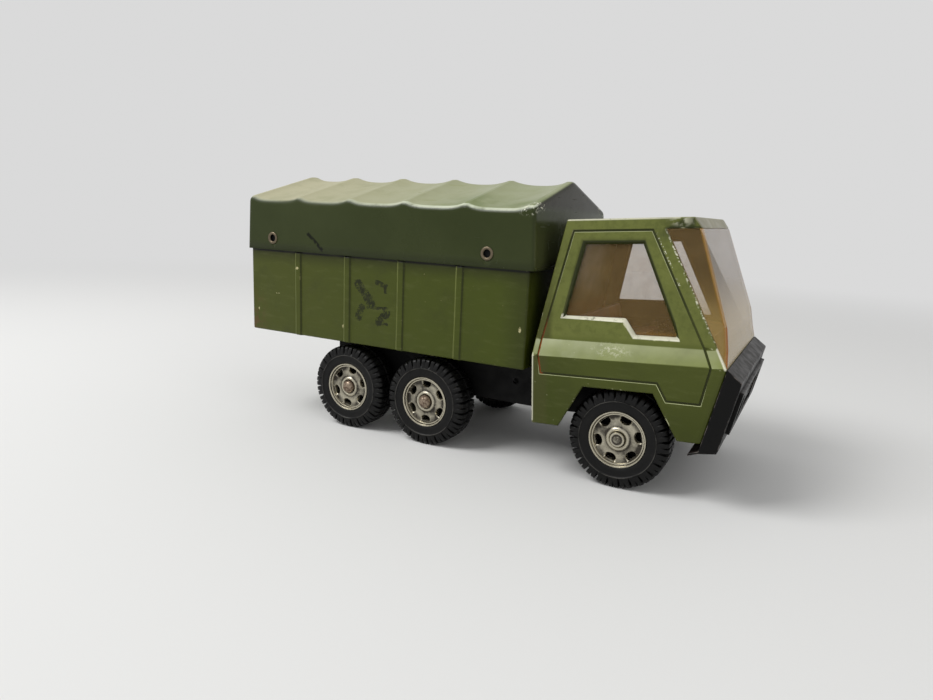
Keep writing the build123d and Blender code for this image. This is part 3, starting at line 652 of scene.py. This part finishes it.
def worked(mesh, kind, **settings):
    """The mesh after a modifier."""
    holder = placed("holder", mesh)
    modifier = holder.modifiers.new(kind, kind)
    for key, value in settings.items():
        setattr(modifier, key, value)
    result = bpy.data.meshes.new_from_object(holder.evaluated_get(bpy.context.evaluated_depsgraph_get()))
    bpy.data.objects.remove(holder)
    return result


def cut(mesh, cutter):
    """The mesh less a closed bmesh."""
    holder = placed("cutter", as_mesh(cutter, "cutter"))
    result = worked(mesh, "BOOLEAN", operation="DIFFERENCE", solver="EXACT", object=holder)
    bpy.data.objects.remove(holder)
    return result


def add_copy(bm, source, place, flip):
    """Add a mesh at a place, mirrored across Y where flip is true."""
    one = bmesh.new()
    one.from_mesh(source)
    if flip:
        one.transform(Matrix.Scale(-1, 4, (0, 1, 0)))
        bmesh.ops.reverse_faces(one, faces=one.faces)
    one.transform(Matrix.Translation(place))
    bm.from_mesh(as_mesh(one, "moved"))


def add_both_sides(bm, source, xs, half, z):
    """Add a mesh on the right side and the left one, at each of some places along the truck."""
    for x in xs:
        for side in (-1, 1):
            add_copy(bm, source, (x, side * half, z), side < 0)


def piece(name, mesh, material, slot, *nodes, body="body"):
    """Put a mesh in the scene as a piece that rides on a body and replaces CAD nodes."""
    made = placed(name, mesh)
    mesh.materials.clear()
    mesh.materials.append(material)
    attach(made, body)
    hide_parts(*nodes)


def add_face(bm, *corners):
    """A face through corners, of which two may be one vertex."""
    different = list(dict.fromkeys(corners))
    if len(different) > 2:
        bm.faces.new(different)


def skin(bm, loops, close_round=True):
    """Faces between successive loops of vertices."""
    for first, second in zip(loops, loops[1:]):
        count = len(first)
        for i in range(count if close_round else count - 1):
            j = (i + 1) % count
            add_face(bm, first[i], first[j], second[j], second[i])


def turned(profile, name, steps, closed=True, sharp=38.0):
    """Mesh turned round the Y axis through points of y and radius."""
    bm = bmesh.new()
    loops = []
    angles = [2 * pi * i / steps for i in range(steps)]
    for y, radius in profile:
        if radius:
            loops.append([bm.verts.new((radius * cos(a), y, radius * sin(a))) for a in angles])
        else:
            loops.append([bm.verts.new((0, y, 0))] * steps)
    skin(bm, loops + loops[:1] if closed else loops)
    bmesh.ops.recalc_face_normals(bm, faces=bm.faces)
    return finished(bm, name, sharp)


def mark_inside(bm, faces, name):
    """1 on vertices that lie inside a set of faces."""
    faces = set(faces)
    layer = bm.verts.layers.float.new(name)
    for v in bm.verts:
        v[layer] = float(bool(v.link_faces) and all(face in faces for face in v.link_faces))


def is_narrow(face, width):
    """Whether a face is a sliver, narrower than a width."""
    lengths = sorted(e.calc_length() for e in face.edges)
    return face.calc_area() < width * lengths[-1] * 0.45 and lengths[0] < width


def rounded_off(bm, test, width, segments):
    """Round the edges that pass a test, and return the new faces."""
    edges = [e for e in bm.edges if test(e)]
    return bmesh.ops.bevel(bm, geom=edges, offset=width, offset_type="OFFSET", segments=segments, profile=0.5,
                           affect="EDGES", clamp_overlap=False)["faces"]


def by_window(e):
    """Whether an edge lies on the head or a side of a side window's outer outline."""
    middle = (e.verts[0].co + e.verts[1].co) / 2
    offset = middle - Vector(cab_point(0, 0, 0))
    forward = offset.x * cos(cab_pitch) + offset.z * sin(cab_pitch)
    upward = offset.z * cos(cab_pitch) - offset.x * sin(cab_pitch)
    at = Vector((forward, upward)) / MM
    if abs(abs(middle.y) / MM - cab_side(at.y)) > skin_reach:
        return False
    for first, second in zip(window[:3], window[1:4]):
        first, span = Vector(first), Vector(second) - Vector(first)
        share = (at - first).dot(span) / span.length_squared
        if 0 < share < 1 and (at - first - span * share).length < outline_reach:
            return True
    return False


def by_groove(e):
    """Whether an edge is the outer lip of a door line."""
    if len(e.link_faces) != 2 or not e.is_convex:
        return False
    if e.calc_face_angle(0.0) < radians(60) or e.calc_length() < 0.8 * MM:
        return False
    depths = [face.calc_area() / max(edge.calc_length() for edge in face.edges) / MM for face in e.link_faces]
    return 0.8 * groove_depth < min(depths) < 1.25 * groove_depth and max(depths) > 1.8 * groove_depth


def softened(node, width, segments=2, least=24.0, window_round=0.0, lips=0.0):
    """New mesh with a CAD node's shape, its main edges and a cab's window heads and door lines rounded."""
    bm = bmesh.new()
    bm.from_mesh(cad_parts[node].data)
    bmesh.ops.remove_doubles(bm, verts=bm.verts, dist=2e-6)
    bmesh.ops.dissolve_limit(bm, angle_limit=radians(1.0), verts=bm.verts, edges=bm.edges)
    if window_round:
        rounded_off(bm, by_window, window_round, 5)
    short = shortest_rounded * width
    narrow = {face for face in bm.faces if is_narrow(face, short)}
    def is_main(e):
        if len(e.link_faces) != 2 or any(face in narrow for face in e.link_faces):
            return False
        return e.calc_face_angle(0.0) > radians(least) and e.calc_length() > short
    mark_inside(bm, rounded_off(bm, is_main, width, segments), "edge")
    if lips:
        mark_inside(bm, rounded_off(bm, by_groove, lips, 2), "lip")
    bmesh.ops.remove_doubles(bm, verts=bm.verts, dist=5e-6)
    mesh = finished(bm, node + "_skin", 40.0)
    return worked(mesh, "WEIGHTED_NORMAL", keep_sharp=True, weight=100)


def canopy_section(inset, eave_dip, ridge_dip):
    """Half of the canopy's cross-section, lower edge to ridge, as distance from the middle and height."""
    wall_steps, eave_steps, slope_steps, ridge_steps = 5, 7, 14, 5
    half = canopy_half - inset
    turn = pi / 2 - roof_slope
    def apex(dip):
        return apex_z - (inset + dip) / cos(roof_slope)
    radius = max(eave_radius - inset, 0.5 * MM)
    wall_top = apex(eave_dip) - half * tan(roof_slope) - radius * tan(turn / 2)
    points = [(half, canopy_low.z + (wall_top - canopy_low.z) * i / wall_steps) for i in range(wall_steps)]
    for i in range(eave_steps + 1):
        a = turn * i / eave_steps
        points.append((half - radius + radius * cos(a), wall_top + radius * sin(a)))
    ridge = max(apex_radius - inset, 3 * MM)
    centre = apex(ridge_dip) - ridge / cos(roof_slope)
    ridge_y, ridge_z = ridge * sin(roof_slope), centre + ridge * cos(roof_slope)
    eave_y, eave_z = points[-1]
    for i in range(1, slope_steps + 1):
        t = i / slope_steps
        points.append((eave_y + (ridge_y - eave_y) * t, eave_z + (ridge_z - eave_z) * t))
    for i in range(1, ridge_steps + 1):
        a = roof_slope * (1 - i / ridge_steps)
        points.append((ridge * sin(a), centre + ridge * cos(a)))
    return points


def canopy_stations():
    """Distance from the rear end, inset, and dips at eave and ridge, of each cross-section."""
    bend_steps, bay_steps = 7, 18
    bends = [pi / 2 * i / bend_steps for i in range(bend_steps + 1)]
    ends = [(canopy_edge_radius * (1 - cos(a)), canopy_edge_radius * (1 - sin(a)), 0.0, 0.0) for a in bends]
    bay = (canopy_length - 2 * end_bow - (bay_count - 1) * bow_width) / bay_count
    stations = list(ends)
    for number in range(bay_count):
        start = end_bow + number * (bay + bow_width)
        stations.append((start - bow_ease, 0.0, 0.0, 0.0))
        for i in range(bay_steps + 1):
            t = 0.5 - 0.5 * cos(pi * i / bay_steps)
            off_middle = abs(2 * t - 1)
            eave_dip = eave_sag * (1 - off_middle ** eave_flatness)
            stations.append((start + bay * t, 0.0, eave_dip, bay_sag * (1 - off_middle ** bay_flatness)))
        stations.append((start + bay + bow_ease, 0.0, 0.0, 0.0))
    return stations + [(canopy_length - d, inset, 0.0, 0.0) for d, inset, _, _ in reversed(ends)]


def leaned(distance, z):
    """Place along the truck of a canopy point, its gable ends leaning inward with height."""
    lean = canopy_lean * (z - canopy_low.z) / (apex_z - canopy_low.z)
    rear = max(0.0, 1 - distance / lean_reach)
    front = max(0.0, 1 - (canopy_length - distance) / lean_reach)
    return canopy_low.x + distance + lean * (rear - front)


def canopy_loop(bm, distance, section):
    """A cross-section's vertices, from the right side's lower edge over the ridge to the left one's."""
    right = [bm.verts.new((leaned(distance, z), -y, z)) for y, z in section]
    left = [bm.verts.new((leaned(distance, z), y, z)) for y, z in reversed(section[:-1])]
    return right + left


def make_canopy(material):
    """The canopy's shell of bays and bows, its front gable closed, its rear open, with four rivet holes."""
    bm = bmesh.new()
    loops = [canopy_loop(bm, d, canopy_section(*rest)) for d, *rest in canopy_stations()]
    mouth = canopy_loop(bm, 0.0, canopy_section(rear_rim, bay_sag, bay_sag))
    skin(bm, [mouth] + loops, close_round=False)
    front = loops[-1]
    count = len(front)
    for i in range(count // 2):
        add_face(bm, front[i], front[i + 1], front[count - 2 - i], front[count - 1 - i])
    bmesh.ops.recalc_face_normals(bm, faces=bm.faces)
    mesh = finished(bm, "canopy_skin", 34.0)
    mesh = worked(mesh, "SOLIDIFY", thickness=canopy_wall, offset=-1.0, use_even_offset=True)
    bore, reach = eyelet_bore + 0.3 * MM, 2 * canopy_wall
    plug = turned([(-reach, 0), (-reach, bore), (reach, bore), (reach, 0)], "bore", 32, False)
    cutter = bmesh.new()
    add_both_sides(cutter, plug, eyelet_places, canopy_half, eyelet_height)
    piece("canopy_cover", cut(mesh, cutter), material, "canopy_plastic", "canopy")


def make_eyelets(material, dark):
    """Tubular rivets: a rolled flange round an open bore, its dark inside a black cup of painted shade."""
    r, b, t = eyelet_radius, eyelet_bore, eyelet_flange
    rolled = [(0, r), (0.45 * t, r), (0.8 * t, r - 0.15 * MM), (t, r - 0.4 * MM), (t, b + 0.3 * MM),
              (0.8 * t, b + 0.08 * MM), (0.3 * t, b - 0.15 * MM), (0, b - 0.2 * MM), (0, r - 0.3 * MM)]
    tube = [(0.25 * t, b - 0.16 * MM), (-0.85 * MM, b - 0.2 * MM), (-0.9 * MM, 0), (-1.0 * MM, 0),
            (-0.95 * MM, b), (0, b - 0.05 * MM)]
    for name, profile, finish, slot in (
            ("rivet_flanges", rolled, material, "rivet_metal"), ("rivet_bores", tube, dark, "black_metal")):
        bm = bmesh.new()
        add_both_sides(bm, turned(profile, name, 40), eyelet_places, canopy_half, eyelet_height)
        piece(name, finished(bm, name), finish, slot, "eyelets")


def side_stations(rear, front):
    """Distances along the box's side: even steps between ribs, and closer ones over each rib's flanks."""
    half = rib_width / 2
    offsets = [half + 0.25 * MM, half] + [half - rib_flank * share for share in (0.25, 0.5, 0.75, 1.0, 1.3)]
    offsets = [-o for o in offsets] + [0.0] + offsets[::-1]
    xs = [rear]
    def step_to(end):
        start = xs[-1]
        xs.extend(start + (end - start) * i / side_steps for i in range(1, side_steps + 1))
    for place in rib_places:
        step_to(place + offsets[0])
        xs.extend(place + o for o in offsets[1:])
    step_to(front)
    return xs


def rib_stand(x):
    """How far the nearest rib stands out of the box's side at a place, as a share of its rise."""
    share = max(min(1.0, max(0.0, (rib_width / 2 - abs(x - place)) / rib_flank)) for place in rib_places)
    return share * share * (3 - 2 * share)


def box_outline(inset, rib):
    """Plan points round the load box, drawn in by an inset, the ribs standing out by their share."""
    radius = max(box_corner - inset, 0.4 * MM)
    rear, front = box_low.x + inset + radius, box_high.x - inset - radius
    half = box_half - inset
    straight = half - radius
    xs = side_stations(rear, front)
    points = [(x, -half - rib * rib_rise * rib_stand(x)) for x in xs]
    def corner(cx, cy, start):
        for i in range(1, side_steps + 1):
            a = start + pi / 2 * i / side_steps
            points.append((cx + radius * cos(a), cy + radius * sin(a)))
    def end(x, towards):
        points.extend((x, towards * straight * (2 * i / end_steps - 1)) for i in range(1, end_steps + 1))
    corner(front, -straight, -pi / 2)
    end(front + radius, 1)
    corner(front, straight, 0.0)
    points.extend((x, half + rib * rib_rise * rib_stand(x)) for x in reversed(xs[:-1]))
    corner(rear, straight, pi / 2)
    end(rear - radius, -1)
    corner(rear, -straight, pi)
    points.pop()
    return points


def make_box(material):
    """The pressed box: rounded lower fold, ribs that fade out under the canopy, slight dents."""
    rib_top = canopy_low.z - 0.3 * MM
    bends = [pi / 2 * i / end_steps for i in range(end_steps + 1)]
    levels = [(box_low.z + box_fold * (1 - cos(a)), box_fold * (1 - sin(a)), 1.0) for a in bends]
    for share in (0.15, 0.3, 0.45, 0.6, 0.75, 0.88):
        levels.append((box_low.z + (rib_top - box_low.z) * share, 0.0, 1.0))
    levels += [(rib_top - rib_fade * (1 - sin(a)), 0.0, cos(a)) for a in bends]
    levels.append((box_high.z, 0.0, 0.0))
    bm = bmesh.new()
    loops = []
    for z, inset, rib in levels:
        ring = []
        for x, y in box_outline(inset, rib):
            dent = 0.0
            if rib_top > z > box_low.z + 2 * MM and abs(y) > box_half - 0.01 * MM:
                dent = dent_depth * max(0.0, noise.noise(Vector((x, y, z)) * dent_scale) - 0.1)
            ring.append(bm.verts.new((x, y - dent * (1 if y > 0 else -1), z)))
        loops.append(ring)
    skin(bm, loops)
    bm.faces.new(list(reversed(loops[0])))
    bmesh.ops.recalc_face_normals(bm, faces=bm.faces)
    mesh = finished(bm, "load_box_skin", 50.0)
    mesh = worked(mesh, "SOLIDIFY", thickness=sheet, offset=-1.0)
    piece("load_box_sheet", mesh, material, "box_paint", "load_box")


def tyre_rings(rim, full):
    """Rings from bead to bead: distance in and radius between lugs, the same on a lug, a slit's share."""
    wall = [(1.0, rim), (0.5, rim + 0.6), (0.42, 15.0), (0.42, 16.7)]
    moulded_ring = [(0.3, 17.0), (0.0, 17.2), (0.0, 17.45), (0.3, 17.65)]
    shoulder = [(0.7, 18.3, 0.35, 18.3, 0), (1.4, 19.2, 0.4, 19.4, 0), (2.2, 20.0, 0.6, 20.9, 0.4),
                (3.0, 20.4, 1.3, 22.0, 0.75)]
    tread = [(4.4, 20.5, 2.4, 22.5, 0.75), (6.4, 20.5, 4.6, 22.5, 0.2), (6.75, 20.5, 6.6, 22.5, 0),
             (6.9, 20.5, 6.8, 21.7, 0), (7.5, 20.5, 7.5, 21.5, 0)]
    rings = [(y, r, y, r, 0) for y, r in wall + moulded_ring] + shoulder + tread
    return rings + [(full - y0, r0, full - y1, r1, slit) for y0, r0, y1, r1, slit in reversed(rings[:-1])]


def tyre_mesh(radius, width, rim):
    """A tyre round the origin with its outer face at y = 0 and its width towards +Y."""
    grow = radius / (drawn_tyre * MM)
    full = width / MM
    pitch = 360.0 / lug_count
    # Angle over the lug's middle, share of the lug's height, share of the slit's depth
    across = [(-7.3, 0, 0), (-6.6, 0.04, 0), (-6.15, 0.9, 0), (-5.7, 1, 0), (-1.2, 1, 0), (-0.8, 0.97, 0.2),
              (-0.35, 0.9, 1)]
    across += [(-angle, share, slit) for angle, share, slit in reversed(across)]
    bm = bmesh.new()
    # The 'edge' layer here weights the rubber's painted highlights: full on the moulded ring's crest, less on
    # the lugs' top edges
    painted_glint = bm.verts.layers.float.new("edge")
    loops = []
    for y0, r0, y1, r1, split in tyre_rings(rim, full):
        ring = []
        for n in range(lug_count):
            for angle, share, slit in across:
                height = share * (1 - split * slit * slit_depth)
                a = radians(90 + n * pitch + angle)
                y = (y0 + (y1 - y0) * height) * MM
                r = (r0 + (r1 - r0) * height) * MM * grow
                v = bm.verts.new((r * cos(a), y, r * sin(a)))
                crest = y0 in (0.0, full) and r0 > 16
                v[painted_glint] = 1.0 if crest else 0.55 * (0.85 < share < 1.0 and r1 > 21.9)
                ring.append(v)
        loops.append(ring)
    skin(bm, loops + [loops[0]])
    bmesh.ops.recalc_face_normals(bm, faces=bm.faces)
    return finished(bm, "tyre", 38.0)


def scaled(profile, grow):
    """A profile in mm turned to metres, its radii grown."""
    return [(y * MM, r * MM * grow) for y, r in profile]


def hub_mesh(rim, turn):
    """A plated hub round the origin, its tyre's outer face at y = 0: double outer ring, holed dish, boss."""
    outer_ring = [(14.6, 12.8), (0.62, 12.8), (0.45, 12.72), (0.4, 12.55), (0.42, 12.25), (0.62, 12.08),
                  (1.25, 11.95)]
    inner_ring = [(1.3, 11.8), (1.22, 11.7), (1.2, 11.45), (1.26, 11.22), (1.5, 11.1), (2.2, 10.95)]
    dish = [(2.5, 10.8), (2.6, 10.5), (2.5, 8.0), (2.35, 6.0), (2.2, 5.5)]
    boss = [(1.75, 5.05), (1.58, 4.85), (1.5, 4.6), (1.52, 4.2), (1.6, 3.95), (1.8, 3.75), (2.3, 3.7)]
    back = [(2.3, 1.65), (16.9, 1.65), (16.9, 3.6), (4.8, 3.6), (4.8, 10.7), (14.6, 11.8)]
    grow = rim / drawn_hub
    mesh = turned(scaled(outer_ring + inner_ring + dish + boss + back, grow), "hub", turned_steps, True, 40.0)
    # One hole, flat outside and round inside, as places across and out from the middle of the hub
    hole = [(2.15, 10.35), (-2.15, 10.35), (-2.4, 10.1)]
    hole += [(-2.4 * cos(pi * i / 14), 9.3 - 1.75 * sin(pi * i / 14)) for i in range(15)]
    hole += [(2.4, 10.1)]
    cutter = bmesh.new()
    for number in range(hub_hole_count):
        a = radians(90 - turn + number * 360 / hub_hole_count)
        loops = []
        for y, flare in hole_flares:
            ring = []
            for u, v in hole:
                across, out = u * flare, hole_middle + (v - hole_middle) * flare
                x, z = out * cos(a) - across * sin(a), out * sin(a) + across * cos(a)
                ring.append(cutter.verts.new((x * MM * grow, y * MM, z * MM * grow)))
            loops.append(ring)
        skin(cutter, loops)
        cutter.faces.new(list(reversed(loops[0])))
        cutter.faces.new(loops[-1])
    bmesh.ops.recalc_face_normals(cutter, faces=cutter.faces)
    mesh = cut(mesh, cutter)
    mesh.set_sharp_from_angle(angle=radians(38))
    return mesh


def back_mesh(rim):
    """The plate that closes a hub behind its dish, black through the holes."""
    profile = [(8.6, 3.5), (8.6, 10.9), (8.9, 11.1), (9.6, 11.2), (9.7, 11.1), (9.7, 3.5)]
    return turned(scaled(profile, rim / drawn_hub), "hub_back", 64)


def cap_mesh(shape, reach):
    """An axle's end cap, from the boss outward: a rolled button half its reach high, or a worn dome."""
    if shape == "button":
        points = [(0, 0.4), (0, 3.1), (0.03, 3.3), (0.35, 3.3), (0.45, 3.18), (0.5, 2.9), (0.5, 2.65),
                  (0.465, 2.45), (0.42, 2.2), (0.41, 1.5), (0.43, 0.7), (0.44, 0)]
    else:
        points = [(0, 0.4), (0, 3.1), (0.07, 3.3), (0.3, 3.3), (0.42, 3.2), (0.55, 3.02), (0.7, 2.68),
                  (0.84, 2.1), (0.94, 1.35), (0.99, 0.6), (1.0, 0)]
    return turned([(y * reach, r * MM) for y, r in points], "cap", 48, False, 40.0)


def make_caps(row, x, z, hub_finish, rust):
    """The end caps of a row's axle, plated buttons in front and rusty domes behind."""
    axle_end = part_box(f"{row}_axle")[1].y
    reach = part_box(f"{row}_axle_caps")[1].y - axle_end
    shape, finish, slot = "dome", rust, "rusty_steel"
    if row == "front":
        shape, finish, slot = "button", hub_finish, "plating"
    bm = bmesh.new()
    add_both_sides(bm, cap_mesh(shape, reach), (x,), axle_end, z)
    piece(f"{row}_cap_domes", finished(bm, f"{row}_caps", 40.0), finish, slot, f"{row}_axle_caps")
    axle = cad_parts[f"{row}_axle"].data
    axle.materials.clear()
    axle.materials.append(rust)


def make_wheels(tyre_finish, hub_finish, rust, black):
    """Tyre, plated hub and back plate of each wheel, on that wheel's body, and the caps on its axle."""
    for row, turn in wheel_turns.items():
        low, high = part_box(f"{row}_right_tyre")
        centre = (low + high) / 2
        hub_low, hub_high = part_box(f"{row}_right_hub")
        rim = (hub_high.z - hub_low.z) / 2 / MM
        tyre = tyre_mesh((high.z - low.z) / 2, high.y - low.y, rim)
        wheel = (
            ("tyre", "rubber", tyre, tyre_finish, "tyre_rubber"),
            ("hub", "plate", hub_mesh(rim, turn), hub_finish, "plating"),
            ("hub", "back", back_mesh(rim), black, "black_metal"),
        )
        for side_name, side in sides.items():
            for kind, part, mesh, finish, slot in wheel:
                node = f"{row}_{side_name}_{kind}"
                bm = bmesh.new()
                add_copy(bm, mesh, (centre.x, side * -low.y, centre.z), side > 0)
                made = finished(bm, f"{node}_{part}", 38.0)
                piece(f"{node}_{part}", made, finish, slot, node, body=f"{row}_{side_name}_wheel")
        make_caps(row, centre.x, centre.z, hub_finish, rust)


def make_body(black):
    """The pieces that stay still: box, rivets, canopy, cab, chassis, grille, interior and glazing."""
    make_box(box_paint())
    make_eyelets(plated_metal("rivet_metal", rgb(112, 101, 84), rgb(60, 50, 38), 0.42), black)
    make_canopy(canopy_plastic())
    cab = softened("cab_shell", 0.7 * MM, 3, window_round=1.4 * MM, lips=0.25 * MM)
    grille_black = black_finish("grille_black", rgb(4, 4, 4), rgb(120, 112, 106), 0.40, 0.34)
    inside = softened("cab_interior", 0.8 * MM, 3)
    glazing = softened("glazing", 0.3 * MM)
    piece("cab_sheet", cab, cab_paint(), "cab_paint", "cab_shell")
    piece("chassis_channel", softened("chassis", 0.5 * MM), black, "black_metal", "chassis")
    piece("grille_moulding", softened("grille", 0.4 * MM), grille_black, "black_plastic", "grille")
    piece("cab_interior_moulding", inside, interior_plastic(), "interior_plastic", "cab_interior")
    piece("glazing_moulding", glazing, clear_plastic(), "clear_plastic", "glazing")


def make_truck():
    """Every piece of the truck, and the finishes that several share."""
    black = black_finish("chassis_black", rgb(3, 3, 3), rgb(34, 28, 22), 0.6, 0.25)
    plating = plated_metal("plating", rgb(186, 180, 162), rgb(44, 38, 28), 0.22, 0.43)
    make_body(black)
    make_wheels(rubber(), plating, rusty_metal(), black)


def seen_or_lit(nodes):
    """The surroundings' colour, paler where it is seen straight, in a reflection or through glass."""
    path = nodes.new("LightPath").outputs
    seen = nodes.any(path["Is Camera Ray"], path["Is Glossy Ray"], path["Is Transmission Ray"])
    return nodes.mix(seen, surround_colour, seen_colour)


def make_floor():
    """A pale floor that runs out into the pale surroundings."""
    f = Finish("floor")
    f.fill(f.shader, Base_Color=(floor_shade, floor_shade, floor_shade * 0.985, 1.0), Roughness=0.8)
    glow = f.fill(f.new("Emission"), Color=seen_or_lit(f))
    fade = f.step(f.vector("LENGTH", f.place), *floor_fade)
    blend = f.fill(f.new("MixShader"), fade, f.shader.outputs["BSDF"], glow["Emission"])
    f.fill(f.output, Surface=blend["Shader"])
    mesh = turned([(0, radius) for radius in floor_radii], "floor", floor_steps, False)
    mesh.transform(Matrix.Rotation(pi / 2, 4, "X"))
    mesh.materials.append(f.material)
    floor = placed("floor", mesh)


def make_light():
    """Pale surroundings and soft area lamps."""
    world = bpy.data.worlds.new("surroundings")
    bpy.context.scene.world = world
    world.use_nodes = True
    nodes = Nodes(world.node_tree)
    nodes.fill(nodes.tree.nodes["Background"], Color=seen_or_lit(nodes), Strength=1.0)
    for name, place, size, power in lamps:
        data = bpy.data.lights.new(name, "AREA")
        data.shape = "RECTANGLE"
        data.size, data.size_y = size
        data.energy = power
        lamp = placed(name, data)
        lamp.location = place
        lamp.rotation_euler = (Vector(lamp_target) - Vector(place)).to_track_quat("-Z", "Y").to_euler()


def make_camera():
    """The photograph's camera: its place, turn and lens."""
    data = bpy.data.cameras.new("camera")
    data.sensor_fit = "HORIZONTAL"
    data.sensor_width = sensor_width
    data.lens = focal_pixels / image_width * sensor_width
    data.clip_start = 0.01
    camera = placed("camera", data)
    level = cos(camera_pitch)
    ahead = Vector((-sin(camera_yaw) * level, cos(camera_yaw) * level, -sin(camera_pitch)))
    right = Vector((cos(camera_yaw), sin(camera_yaw), 0))
    up = right.cross(ahead)
    rolled_right = right * cos(camera_roll) + up * sin(camera_roll)
    rolled_up = up * cos(camera_roll) - right * sin(camera_roll)
    place = Vector((canopy_low.x + camera_from_tail, camera_y, camera_height))
    turn = Matrix((rolled_right, rolled_up, -ahead)).transposed()
    camera.matrix_world = Matrix.Translation(place) @ turn.to_4x4()
    bpy.context.scene.camera = camera


make_camera()
make_light()
make_floor()
make_truck()

bpy.context.scene.view_settings.view_transform = "Standard"
bpy.context.view_layer.update()
